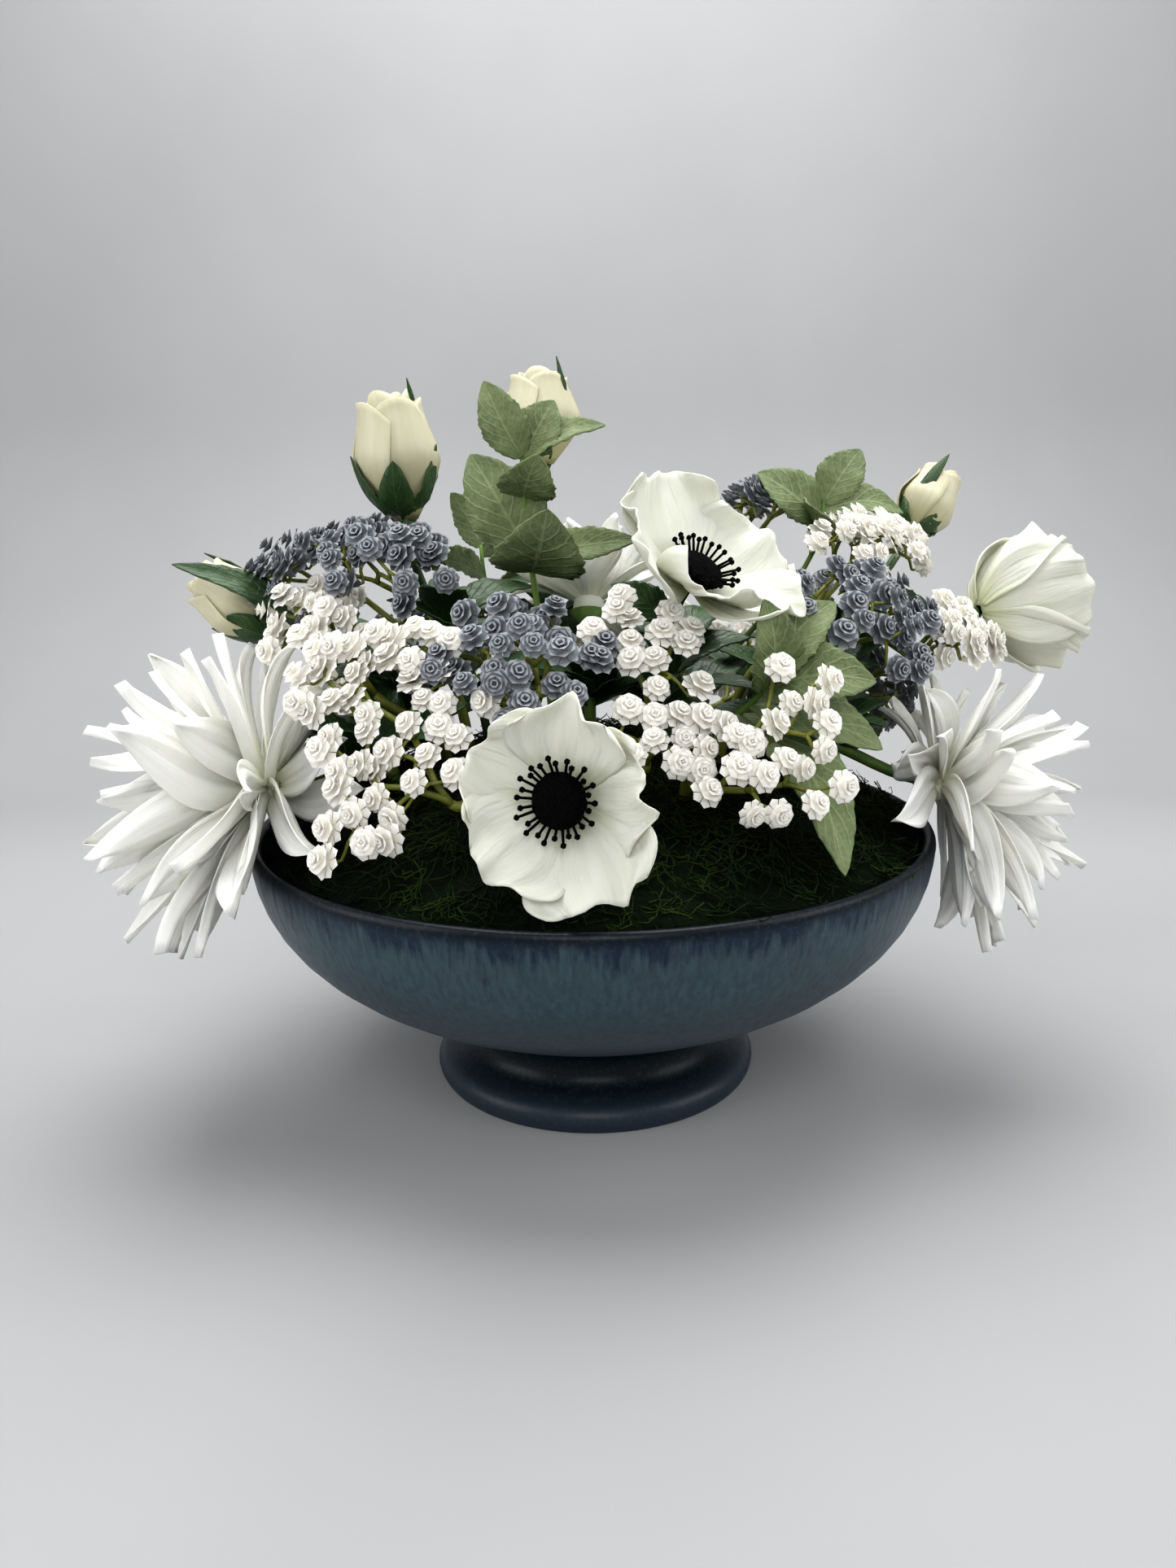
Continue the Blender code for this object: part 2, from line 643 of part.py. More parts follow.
def rose(name, root, base, axis, height):
    """A rose bud of wrapped petals, and a stem with a cup, sepals and leaves."""
    base, axis = mm(*base), Vector(axis).normalized()
    level, steep = frame_about(axis)
    wide = height * 0.36
    pieces = [loose_object(rod(base, base + axis * height * 0.84 * MM, 5.2, wide * 0.55, 6))]
    for k in range(ROSE_PETALS):
        turn = math.tau * k / ROSE_PETALS
        tall = height * (0.92 if k % 2 else 0.84)

        def place(u, v, turn=turn, tall=tall):
            angle = turn + u * 1.05
            belly = (0.30, 1.0, 0.90)[round(v * 2)] * wide
            radius = belly + 1.7 * u + (1.2 if v > 0.9 else 0) + 0.4
            rise = tall * v - 2.5 * u * u * v + 1.0
            outward = level * math.cos(angle) + steep * math.sin(angle)
            return base + (outward * radius + axis * rise) * MM

        pieces.append(loose_object(sheet(place, 3, 2)))
    fuse(name + "_bloom", pieces, "ivory_petal", base / MM)

    route = stem_route(root, base - axis * 4.5 * MM, axis, FLOWER_STEM)
    stem = [loose_object(tube(route, FLOWER_STEM, FLOWER_STEM)),
            loose_object(rod(base - axis * 6 * MM, base - axis * GAP * MM, 2.0, 4.6, 6))]
    for k in range(SEPALS):
        turn = math.tau * (k + 0.5) / SEPALS
        side = level * math.cos(turn) + steep * math.sin(turn)
        for lean in (62, 74, 86, 98):
            sepal = narrow_leaf(base - axis * 2.2 * MM, axis, side, lean, height * 0.5)
            if is_clear([sepal]):
                stem.append(loose_object(sepal))
                break
            sepal.free()
    stem += [loose_object(stem_leaf(entry, route)) for entry in leaves_of(name)]
    fuse(name + "_stem", stem, "rose_green", route[0] / MM)


def narrow_leaf(base, axis, side, lean, length):
    """A slim pointed sepal that leans out from the stem's top and turns up again."""
    across = axis.cross(side).normalized()
    rings = []
    place = base.copy()
    for index, (step, half) in enumerate(((0.12, 1.6), (0.34, 2.4), (0.54, 0.0))):
        angle = math.radians(lean - 16 * index)
        ahead = axis * math.cos(angle) + side * math.sin(angle)
        back = side * math.cos(angle) - axis * math.sin(angle)
        place = place + ahead * length * step * MM
        rings.append([place - across * half * MM, place + across * half * MM,
                      place + back * min(1.0, half) * MM])
    return loft(rings)


def sage_sprig(name, root, top, leaves):
    """A leafy stem with broad, toothed sage green leaves."""
    top = mm(*top)
    route = stem_route(root, top, Vector((0, 0, 1)), SPRIG_STEM[0])
    pieces = [loose_object(tube(route, *SPRIG_STEM))]
    for base, tip, width, facing in leaves:
        near = closest_on(route, mm(*base))
        pieces.append(loose_object(leaf_blade(near, mm(*tip), width, Vector(facing))))
    fuse(name, pieces, "sage_leaf", route[0] / MM)


def closest_on(route, point):
    """The nearest place to a point on a route of straight stretches, above the moss."""
    best = None
    for start, end in zip(route[1:], route[2:]):
        span = end - start
        share = max(0.0, min(1.0, (point - start).dot(span) / span.length_squared))
        place = start + span * share
        if best is None or (place - point).length < (best - point).length:
            best = place
    return best


def flower_head(start, place, facing):
    """A twig that widens at its end to one small flower head with a lobed edge."""
    side, lean = frame_about(facing)
    neck = place - facing * 4.0 * MM
    twig_side, twig_lean = frame_about(neck - start)
    shape = bmesh.new()

    def ring(centre, one, two, count, radii):
        turns = [math.tau * k / count for k in range(count)]
        return [shape.verts.new(centre + (one * math.cos(t) + two * math.sin(t)) * r * MM)
                for t, r in zip(turns, radii * (count // len(radii)))]

    low = ring(start, twig_side, twig_lean, ROSETTE_LOBES, (TWIG,))
    high = ring(neck, side, lean, ROSETTE_LOBES, (TWIG * 1.3,))
    edge = ring(place, side, lean, 2 * ROSETTE_LOBES, (ROSETTE_RADIUS * ROSETTE_NOTCH, ROSETTE_RADIUS))
    crown = shape.verts.new(place + facing * 3.0 * MM)
    shape.faces.new(low)
    for k in range(ROSETTE_LOBES):
        n = (k + 1) % ROSETTE_LOBES
        first, lobe, last = edge[2 * k], edge[2 * k + 1], edge[2 * n]
        shape.faces.new((low[k], low[n], high[n], high[k]))
        for face in ((high[k], first, lobe), (high[k], lobe, high[n]), (high[n], lobe, last),
                     (first, crown, lobe), (lobe, crown, last)):
            shape.faces.new(face)
    bmesh.ops.triangulate(shape, faces=shape.faces[:])
    bmesh.ops.recalc_face_normals(shape, faces=shape.faces[:])
    return shape


def dome_spots(centre, axis, reach, heads, rng):
    """Places of the heads on a spray's dome, in a sunflower spiral."""
    side, lean = frame_about(axis)
    spots = []
    for index in range(heads):
        share = (index + 0.5) / heads
        turn = index * GOLDEN_TURN + rng.uniform(-0.25, 0.25)
        radius = math.sqrt(share)
        across = side * math.cos(turn) * radius * reach[0]
        down = lean * math.sin(turn) * radius * reach[1]
        rise = axis * (math.sqrt(1 - 0.85 * share) * reach[2] + rng.uniform(-2.0, 2.0))
        spots.append(((across + down + rise) * MM + centre, share))
    return spots


def spray(name, kind, root, fork, centre, axis, reach, heads):
    """A spray of small heads: a trunk through its middle, and a twig to each head."""
    rng = random.Random(name)
    fork, centre, axis = mm(*fork), mm(*centre), Vector(axis).normalized()
    top = centre + axis * (reach[2] - 6) * MM
    route = stem_route(root, fork, (centre - fork).normalized(), SPRAY_STEM[0])
    pieces = [loose_object(tube(route + [top], *SPRAY_STEM))]
    placed = []
    for spot, share in dome_spots(centre, axis, reach, heads, rng):
        start = fork.lerp(top, 0.97 - 0.9 * share)
        pieces += clear_head(start, spot, axis, rng, placed)
    fuse(name, pieces, kind, route[0] / MM)


def clear_head(start, spot, axis, rng, placed):
    """One twig and head, moved about until it is clear of other nodes and heads."""
    for attempt in range(16):
        wander = min(9.0, attempt * 1.2)
        place = spot + mm(*(rng.uniform(-wander, wander) for _ in range(3)))
        if moss_height(place.x / MM, place.y / MM) + 6 > place.z / MM and \
                math.hypot(place.x, place.y) < (BOWL_RADIUS + 8) * MM:
            continue
        if any((place - other).length < ROSETTE_SPACING * MM for other in placed):
            continue
        facing = ((place - start).normalized() + axis).normalized()
        head = flower_head(start, place, facing)
        if is_clear([head]):
            placed.append(place)
            return [loose_object(head)]
        head.free()
    return []


def make_holes():
    """A plain round hole for each stem, cut from the moss and the foam."""
    for number, (low, high, radius) in enumerate(holes):
        cutter = loose_object(rod(low, high, radius, radius, HOLE_SIDES),
                              f"stem_hole_{number + 1:02d}", CUTTERS)
        cutter.hide_render = True
        cutter.display_type = "WIRE"


def cut_holes(item):
    """Leave every stem's hole in a piece as a live Boolean."""
    cut = item.modifiers.new("stem_holes", "BOOLEAN")
    cut.operation = "DIFFERENCE"
    cut.operand_type = "COLLECTION"
    cut.collection = CUTTERS


def build():
    """Make every node, the larger forms first, so that the sprays fit between them."""
    make_bowl()
    foam = make_foam()
    moss = make_moss()
    for entry in ANEMONES:
        anemone(*entry)
    for entry in ROSES:
        rose(*entry)
    for entry in DAHLIAS:
        dahlia(*entry)
    for entry in SAGE_SPRIGS:
        sage_sprig(*entry)
    for entry in SPRAYS:
        spray(*entry)
    make_holes()
    cut_holes(foam)
    cut_holes(moss)


build()
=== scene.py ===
# %% [markdown]
# # Flowers in a footed bowl
#
# The real thing is a low dome of artificial flowers: dahlias, anemones with black eyes, rose buds,
# leafy sprigs and sprays of tiny rosettes. They stand in moss in a glazed bowl with a foot.
# The plain solids of the piece are loaded first. Each step after that makes one kind of flower in
# full detail, in the place of its plain solid. Lengths in the tables are millimetres.

# %% Load the plain solids
import math
import random

import bmesh
import bpy
from mathutils import Matrix, Vector, noise
from mathutils.bvhtree import BVHTree
from mathutils.geometry import interpolate_bezier


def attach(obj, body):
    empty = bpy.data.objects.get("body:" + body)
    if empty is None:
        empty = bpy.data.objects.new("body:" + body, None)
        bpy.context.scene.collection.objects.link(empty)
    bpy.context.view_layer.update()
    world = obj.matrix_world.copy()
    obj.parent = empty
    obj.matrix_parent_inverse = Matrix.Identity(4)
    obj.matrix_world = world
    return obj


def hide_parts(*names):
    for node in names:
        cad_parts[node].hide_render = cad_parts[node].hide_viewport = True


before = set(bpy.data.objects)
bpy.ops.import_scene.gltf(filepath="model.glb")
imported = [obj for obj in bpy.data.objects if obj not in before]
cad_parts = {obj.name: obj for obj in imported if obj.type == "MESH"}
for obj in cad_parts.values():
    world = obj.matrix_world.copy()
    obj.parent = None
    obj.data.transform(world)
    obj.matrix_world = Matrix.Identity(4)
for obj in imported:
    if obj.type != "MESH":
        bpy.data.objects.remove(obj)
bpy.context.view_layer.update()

# %% [markdown]
# ## Camera, floor and light
#
# A camera is an object with a lens. Its turn can be given as angles, but here the direction it looks
# in is worked out first, and a quaternion that tracks it gives the turn. That way the pitch and the
# slight roll of the picture stay readable numbers.

# %% Camera
MM = 0.001
CAMERA_PLACE = (0.0, -0.4364, 0.2171)
PITCH = 0.235
ROLL = -0.015
YAW = -0.003
LENS = 27.03


def mm(*values):
    """A point or a direction in millimetres, as a vector in metres."""
    return Vector(values) * MM


ahead = Vector((math.sin(YAW) * math.cos(PITCH), math.cos(YAW) * math.cos(PITCH), -math.sin(PITCH)))
camera = bpy.data.objects.new("camera", bpy.data.cameras.new("camera"))
camera.data.lens = LENS
camera.data.sensor_width = 36.0
camera.data.clip_start = 0.01
turn = ahead.to_track_quat("-Z", "Y").to_matrix() @ Matrix.Rotation(ROLL, 3, "Z")
camera.matrix_world = Matrix.Translation(CAMERA_PLACE) @ turn.to_4x4()
bpy.context.scene.collection.objects.link(camera)
bpy.context.scene.camera = camera
print("camera at", CAMERA_PLACE, "lens", LENS)

# %% [markdown]
# The surroundings are one pale sheet that runs flat under the bowl and then sweeps up behind it, as
# in a small photo tent. It is a grid whose rows are lifted along a quarter circle. A sweep has no
# corner, so the background fades softly. It is only the stage, and not part of the piece.

# %% Floor and backdrop
SWEEP_START = 0.42
SWEEP_RADIUS = 0.30
FLOOR_HALF = 1.3


def swept_floor():
    """A flat floor that curves up into a wall behind."""
    shape = bmesh.new()
    bmesh.ops.create_grid(shape, x_segments=24, y_segments=96, size=FLOOR_HALF)
    for vert in shape.verts:
        past = vert.co.y - SWEEP_START
        if past > 0:
            bend = min(past / SWEEP_RADIUS, math.pi / 2)
            rest = max(0.0, past - SWEEP_RADIUS * math.pi / 2)
            vert.co.y = SWEEP_START + SWEEP_RADIUS * math.sin(bend)
            vert.co.z = SWEEP_RADIUS * (1 - math.cos(bend)) + rest
    mesh = bpy.data.meshes.new("floor")
    shape.to_mesh(mesh)
    shape.free()
    mesh.shade_smooth()
    item = bpy.data.objects.new("floor", mesh)
    bpy.context.scene.collection.objects.link(item)
    return item


floor = swept_floor()
print("floor faces:", len(floor.data.polygons))

# %% [markdown]
# Two kinds of light are mixed. The world gives an even grey from all sides, which keeps shadows
# soft, and a few large area lights give the petals a bright and a dark side. A large area light
# throws a soft shadow because each spot on the floor still sees part of it. The Standard view with
# a contrast look keeps the whites clean and lets the moss go nearly black, as in a studio picture.

# %% Light
WORLD_LIGHT = 0.17
LIGHTS = (
    ("top_light", (0.0, 0.22, 1.05), 0.9, 12.0),
    ("left_light", (-0.95, -0.40, 0.55), 0.8, 4.8),
    ("right_light", (0.95, -0.30, 0.60), 0.8, 4.8),
    ("front_light", (0.0, -1.10, 0.75), 0.7, 4.9),
)


def soft_light(name, place, size, power):
    """A square area light that faces the middle of the flowers."""
    data = bpy.data.lights.new(name, "AREA")
    data.size = size
    data.energy = power
    item = bpy.data.objects.new(name, data)
    item.location = place
    item.rotation_euler = (Vector((0, 0, 0.12)) - Vector(place)).to_track_quat("-Z", "Y").to_euler()
    bpy.context.scene.collection.objects.link(item)


world = bpy.data.worlds.new("surround")
world.use_nodes = True
world.node_tree.nodes["Background"].inputs["Color"].default_value = (0.98, 0.98, 1.0, 1.0)
world.node_tree.nodes["Background"].inputs["Strength"].default_value = WORLD_LIGHT
bpy.context.scene.world = world
for entry in LIGHTS:
    soft_light(*entry)
bpy.context.scene.view_settings.view_transform = "Standard"
bpy.context.scene.view_settings.look = "Medium High Contrast"
print("lights:", len(LIGHTS))

# %% [markdown]
# ## Tools for materials
#
# A material here is a Principled shader fed by nodes. Two short helpers keep that readable: one adds
# a node and fills its sockets, the other starts a node group with named sockets. Effects that
# several finishes share are groups, built once and placed in each finish with its own values.

# %% Node helpers


def add(tree, kind, inputs=None, **settings):
    """Add a shader node, set its options and fill its inputs with values or links."""
    item = tree.nodes.new("ShaderNode" + kind)
    for name, value in settings.items():
        setattr(item, name, value)
    for name, value in (inputs or {}).items():
        if isinstance(value, bpy.types.NodeSocket):
            tree.links.new(value, item.inputs[name])
        else:
            item.inputs[name].default_value = value
    return item


def maths(tree, operation, first, second=0.0, clamp=False):
    """The result of one Math node."""
    return add(tree, "Math", {0: first, 1: second}, operation=operation, use_clamp=clamp).outputs[0]


def ramp(tree, value, low, high, to_low=0.0, to_high=1.0):
    """A value brought smoothly from one range to another."""
    inputs = {"Value": value, "From Min": low, "From Max": high, "To Min": to_low, "To Max": to_high}
    return add(tree, "MapRange", inputs, interpolation_type="SMOOTHSTEP").outputs["Result"]


def blend(tree, share, first, second, kind="MIX"):
    """A mix of two colours."""
    item = tree.nodes.new("ShaderNodeMix")
    item.data_type = "RGBA"
    item.blend_type = kind
    for socket, value in zip((item.inputs[0], item.inputs[6], item.inputs[7]), (share, first, second)):
        if isinstance(value, bpy.types.NodeSocket):
            tree.links.new(value, socket)
        else:
            socket.default_value = value
    return item.outputs[2]


def effect(name, inputs, outputs):
    """Start a node group with named sockets, and return it with its two ends."""
    group = bpy.data.node_groups.new(name, "ShaderNodeTree")
    for label, kind, value in inputs:
        socket = group.interface.new_socket(label, in_out="INPUT", socket_type="NodeSocket" + kind)
        if value is not None:
            socket.default_value = value
    for label in outputs:
        group.interface.new_socket(label, in_out="OUTPUT", socket_type="NodeSocketFloat")
    return group, group.nodes.new("NodeGroupInput").outputs, group.nodes.new("NodeGroupOutput").inputs


def use(tree, group, inputs):
    """Place a node group in a material, with its own values."""
    item = tree.nodes.new("ShaderNodeGroup")
    item.node_tree = group
    for name, value in inputs.items():
        if isinstance(value, bpy.types.NodeSocket):
            tree.links.new(value, item.inputs[name])
        else:
            item.inputs[name].default_value = value
    return item.outputs


def finish_of(name, roughness, **constants):
    """A new material with its tree, its shader and its object coordinates."""
    material = bpy.data.materials.new(name)
    material.use_nodes = True
    tree = material.node_tree
    shader = tree.nodes["Principled BSDF"]
    shader.inputs["Roughness"].default_value = roughness
    for label, value in constants.items():
        shader.inputs[label.replace("_", " ")].default_value = value
    spot = add(tree, "TexCoord").outputs["Object"]
    return material, tree, shader, spot


def bumped(tree, shader, height, strength, depth):
    """Turn a height into the dents and bumps that the light shows."""
    inputs = {"Height": height, "Strength": strength, "Distance": depth}
    tree.links.new(add(tree, "Bump", inputs).outputs[0], shader.inputs["Normal"])


print("node helpers ready")

# %% [markdown]
# The first shared effect is a streak: noise that is squeezed in one direction. On the bowl it makes
# the runs of the glaze, and on petals and stems, where the direction follows the blade's own map, it
# makes fine lengthwise fibres. The second is a plain speckle for grain and blotches.

# %% Streaks and speckle


def make_streaks():
    """Noise stretched by a vector, as a mask from 0 to 1."""
    inputs = (("Vector", "Vector", None), ("Stretch", "Vector", None), ("Scale", "Float", 100.0),
              ("Contrast", "Float", 0.2))
    group, given, result = effect("streaks", inputs, ("Mask",))
    pulled = add(group, "VectorMath", {0: given["Vector"], 1: given["Stretch"]},
                 operation="MULTIPLY").outputs[0]
    grain = add(group, "TexNoise", {"Vector": pulled, "Scale": given["Scale"], "Detail": 3.0})
    low = maths(group, "SUBTRACT", 0.5, given["Contrast"])
    high = maths(group, "ADD", 0.5, given["Contrast"])
    group.links.new(ramp(group, grain.outputs["Fac"], low, high), result["Mask"])
    return group


def make_speckle():
    """Even noise as a mask from 0 to 1."""
    inputs = (("Vector", "Vector", None), ("Scale", "Float", 500.0), ("Contrast", "Float", 0.2))
    group, given, result = effect("speckle", inputs, ("Mask",))
    grain = add(group, "TexNoise", {"Vector": given["Vector"], "Scale": given["Scale"], "Detail": 4.0})
    low = maths(group, "SUBTRACT", 0.5, given["Contrast"])
    high = maths(group, "ADD", 0.5, given["Contrast"])
    group.links.new(ramp(group, grain.outputs["Fac"], low, high), result["Mask"])
    return group


STREAKS = make_streaks()
SPECKLE = make_speckle()
print("groups:", STREAKS.name, SPECKLE.name)

# %% [markdown]
# The floor is a sheet of matt board. It isn't part of the piece, so its finish is only a pale grey
# with a faint cloudiness, which keeps it from looking computed.

# %% Floor finish
FLOOR_DARK = (0.375, 0.378, 0.382, 1.0)
FLOOR_PALE = (0.420, 0.422, 0.426, 1.0)


def floor_finish():
    """Matt grey board, a little cloudy."""
    material, tree, shader, spot = finish_of("matt_board", 0.85, Specular_IOR_Level=0.25)
    cloud = use(tree, SPECKLE, {"Vector": spot, "Scale": 3.0, "Contrast": 0.3})["Mask"]
    tree.links.new(blend(tree, cloud, FLOOR_DARK, FLOOR_PALE), shader.inputs["Base Color"])
    return material


floor.data.materials.append(floor_finish())

# %% [markdown]
# The third is the net of veins on a leaf. The blade's map has u across and v along it, so a side
# vein is a line where v, less a slant times the distance from the midrib, comes round to the same
# fraction again. The midrib is the line where u is in the middle.

# %% Leaf veins


def make_veins():
    """A midrib and slanted side veins, as a mask from 0 to 1."""
    inputs = (("Map", "Vector", None), ("Count", "Float", 7.0), ("Slant", "Float", 0.3),
              ("Width", "Float", 0.16))
    group, given, result = effect("leaf_veins", inputs, ("Mask",))
    parts = add(group, "SeparateXYZ", {0: given["Map"]}).outputs
    twice = maths(group, "MULTIPLY", parts["X"], 2.0)
    shifted = maths(group, "ABSOLUTE", maths(group, "SUBTRACT", twice, 1.0))
    lean = maths(group, "MULTIPLY", shifted, given["Slant"])
    along = maths(group, "MULTIPLY", maths(group, "SUBTRACT", parts["Y"], lean), given["Count"])
    away = maths(group, "ABSOLUTE", maths(group, "SUBTRACT", maths(group, "FRACT", along), 0.5))
    side = ramp(group, away, given["Width"], 0.0)
    middle = ramp(group, shifted, 0.09, 0.02)
    group.links.new(maths(group, "MAXIMUM", side, middle), result["Mask"])
    return group


VEINS = make_veins()
print("group:", VEINS.name)

# %% [markdown]
# ## Tools for shapes
#
# Petals and leaves are all blades: a flat grid, bent by a small function that says where each corner
# (u, v) goes, with a map of u and v kept for the finish. A Solidify modifier gives the finished mesh
# its thickness. Stems are routes with a bevel: a curve made a mesh.

# %% Blades, tubes and pieces
MAP = "blade"
solid_skins = []


def blade(shape, across, along, place):
    """Lay a grid in a mesh, keep its map, and bend it with place(u, v)."""
    corners = bmesh.ops.create_grid(shape, x_segments=across, y_segments=along, size=1.0)["verts"]
    layer = shape.loops.layers.uv.get(MAP) or shape.loops.layers.uv.new(MAP)
    for vert in corners:
        for loop in vert.link_loops:
            loop[layer].uv = ((vert.co.x + 1) / 2, (vert.co.y + 1) / 2)
    for vert in corners:
        vert.co = place(vert.co.x, (vert.co.y + 1) / 2)
    return corners


def tubes(routes, sides=1):
    """A mesh of round stems: each route is a list of (place, radius in millimetres)."""
    data = bpy.data.curves.new("routes", "CURVE")
    data.dimensions = "3D"
    data.bevel_depth = MM
    data.bevel_resolution = sides
    data.use_fill_caps = True
    for route in routes:
        spline = data.splines.new("POLY")
        spline.points.add(len(route) - 1)
        for point, (place, radius) in zip(spline.points, route):
            point.co = (*place, 1.0)
            point.radius = radius
    guide = bpy.data.objects.new("routes", data)
    bpy.context.scene.collection.objects.link(guide)
    bpy.context.view_layer.update()
    graph = bpy.context.evaluated_depsgraph_get()
    shape = bmesh.new()
    mesh = bpy.data.meshes.new_from_object(guide.evaluated_get(graph))
    shape.from_mesh(mesh)
    bpy.data.objects.remove(guide, do_unlink=True)
    bpy.data.meshes.remove(mesh)
    bmesh.ops.remove_doubles(shape, verts=shape.verts[:], dist=0.000001)
    bmesh.ops.recalc_face_normals(shape, faces=shape.faces[:])
    return shape


def frame_about(axis):
    """Two directions across an axis, the first as level as it can be."""
    axis = axis.normalized()
    side = Vector((0, 0, 1)).cross(axis)
    if side.length < 0.05:
        side = Vector((1, 0, 0))
    side.normalize()
    return side, axis.cross(side)


def piece(name, shape, material, nodes, thickness=0.0, smooth=True):
    """Make a mesh an object of the scene that stands for its plain solids."""
    mesh = bpy.data.meshes.new(name)
    shape.to_mesh(mesh)
    shape.free()
    mesh.materials.append(material)
    if smooth:
        mesh.shade_smooth()
    item = bpy.data.objects.new(name, mesh)
    bpy.context.scene.collection.objects.link(item)
    if thickness:
        shell = item.modifiers.new("thickness", "SOLIDIFY")
        shell.thickness = thickness * MM
        shell.offset = 0.0
    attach(item, "root")
    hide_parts(*nodes)
    print(name, "faces:", len(mesh.polygons))
    return item


def keep_clear_of(item):
    """Remember a piece, so that small heads can be pushed away from it later."""
    points = [vert.co.copy() for vert in item.data.vertices]
    faces = [tuple(face.vertices) for face in item.data.polygons]
    solid_skins.append(BVHTree.FromPolygons(points, faces))


def pushed_clear(place, room):
    """A place moved out of the way of the pieces that are already there."""
    for skin in solid_skins:
        near, normal, index, distance = skin.find_nearest(place, room * MM)
        if near is not None and distance > 0.0:
            place = near + (place - near).normalized() * room * MM
    return place


print("shape helpers ready")

# %% [markdown]
# ## The bowl
#
# The bowl is stoneware, thrown on a wheel: a full round body on a flared foot. A wheel-thrown shape
# is a profile turned about the middle, which is what the spin operator does. The profile runs from
# the middle of the inside, over the rim, and down the outside to the underside of the foot.

# %% Bowl shape
BOWL_RADIUS = 127.0
BOWL_HEIGHT = 99.7
BODY_BOTTOM = 25.0
BODY_FULLNESS = 2.15
WALL = 5.0
FOOT_RADIUS = 62.4
BOWL_STEPS = 144


def body_radius(height, inset=0.0):
    """Radius of the bowl's body at a height, outside or inset from it."""
    share = (BOWL_HEIGHT - height) / (BOWL_HEIGHT - BODY_BOTTOM - inset)
    return (BOWL_RADIUS - inset) * (1 - share ** BODY_FULLNESS) ** (1 / BODY_FULLNESS)


def arc(points, count):
    """A smooth run through four guide points, given as (radius, height)."""
    guides = [Vector((*point, 0.0)) for point in points]
    return [(p.x, p.y) for p in interpolate_bezier(*guides, count)]


def bowl_profile():
    """The closed run of (radius, height) from the inside's middle to the foot's underside."""
    inner = [(0.0, 30.0), (18.0, 30.1), (34.0, 30.8)]
    inner += [(body_radius(z, WALL), z) for z in (32.5, 35, 39, 44, 50, 57, 65, 74, 83, 91)]
    rim = arc(((122.2, 96.6), (122.8, 100.6), (127.0, 101.0), (127.0, 96.8)), 9)
    outer = [(body_radius(z), z) for z in (92, 86, 79, 72, 65, 58, 51.5, 46, 41, 37, 33.5, 31, 29.3)]
    waist = arc(((54.5, 27.0), (47.5, 25.5), (47.5, 14.0), (55.5, 11.0)), 9)
    lip = arc(((58.0, 10.0), (61.8, 8.8), (63.6, 4.6), (61.2, 0.9)), 8)
    under = [(60.6, 0.2), (59.8, 0.0), (54.2, 0.0), (53.2, 0.6), (50.0, 7.0), (43.4, 15.6), (42.0, 16.0)]
    return inner + rim + outer + waist + lip + under + [(0.0, 16.0)]


def turned(profile, steps):
    """Turn a profile about the upright axis with the spin operator."""
    shape = bmesh.new()
    line = [shape.verts.new(mm(radius, 0, height)) for radius, height in profile]
    edges = [shape.edges.new(pair) for pair in zip(line, line[1:])]
    bmesh.ops.spin(shape, geom=line + edges, cent=(0, 0, 0), axis=(0, 0, 1), angle=math.tau,
                   steps=steps, use_merge=True, use_duplicate=False)
    bmesh.ops.remove_doubles(shape, verts=shape.verts[:], dist=0.000001)
    bmesh.ops.recalc_face_normals(shape, faces=shape.faces[:])
    return shape


# %% [markdown]
# The glaze is a running one. It is nearly black at the rim, breaks to deep blue just under it in
# uneven runs, and goes teal grey and then a purple grey further down. The hollow over the foot is
# painted near black as shade, since it lies in the shadow of the bowl above it. So the colour follows
# the height in bands. The blue runs are streaks that are kept only above a level of their own, which
# rises towards the rim, and fine streaks and blotches are laid over the rest.

# %% Glaze
BANDS = (
    (0.000, (0.024, 0.036, 0.052)),
    (0.085, (0.026, 0.040, 0.058)),
    # The two near-black bands that follow are the hollow over the foot: painted shade from the bowl above it.
    (0.125, (0.002, 0.008, 0.013)),
    (0.262, (0.002, 0.009, 0.014)),
    (0.300, (0.034, 0.046, 0.058)),
    (0.480, (0.036, 0.055, 0.069)),
    (0.700, (0.036, 0.063, 0.080)),
    (0.880, (0.033, 0.060, 0.077)),
    (0.950, (0.012, 0.032, 0.050)),
    (0.975, (0.001, 0.004, 0.009)),
)


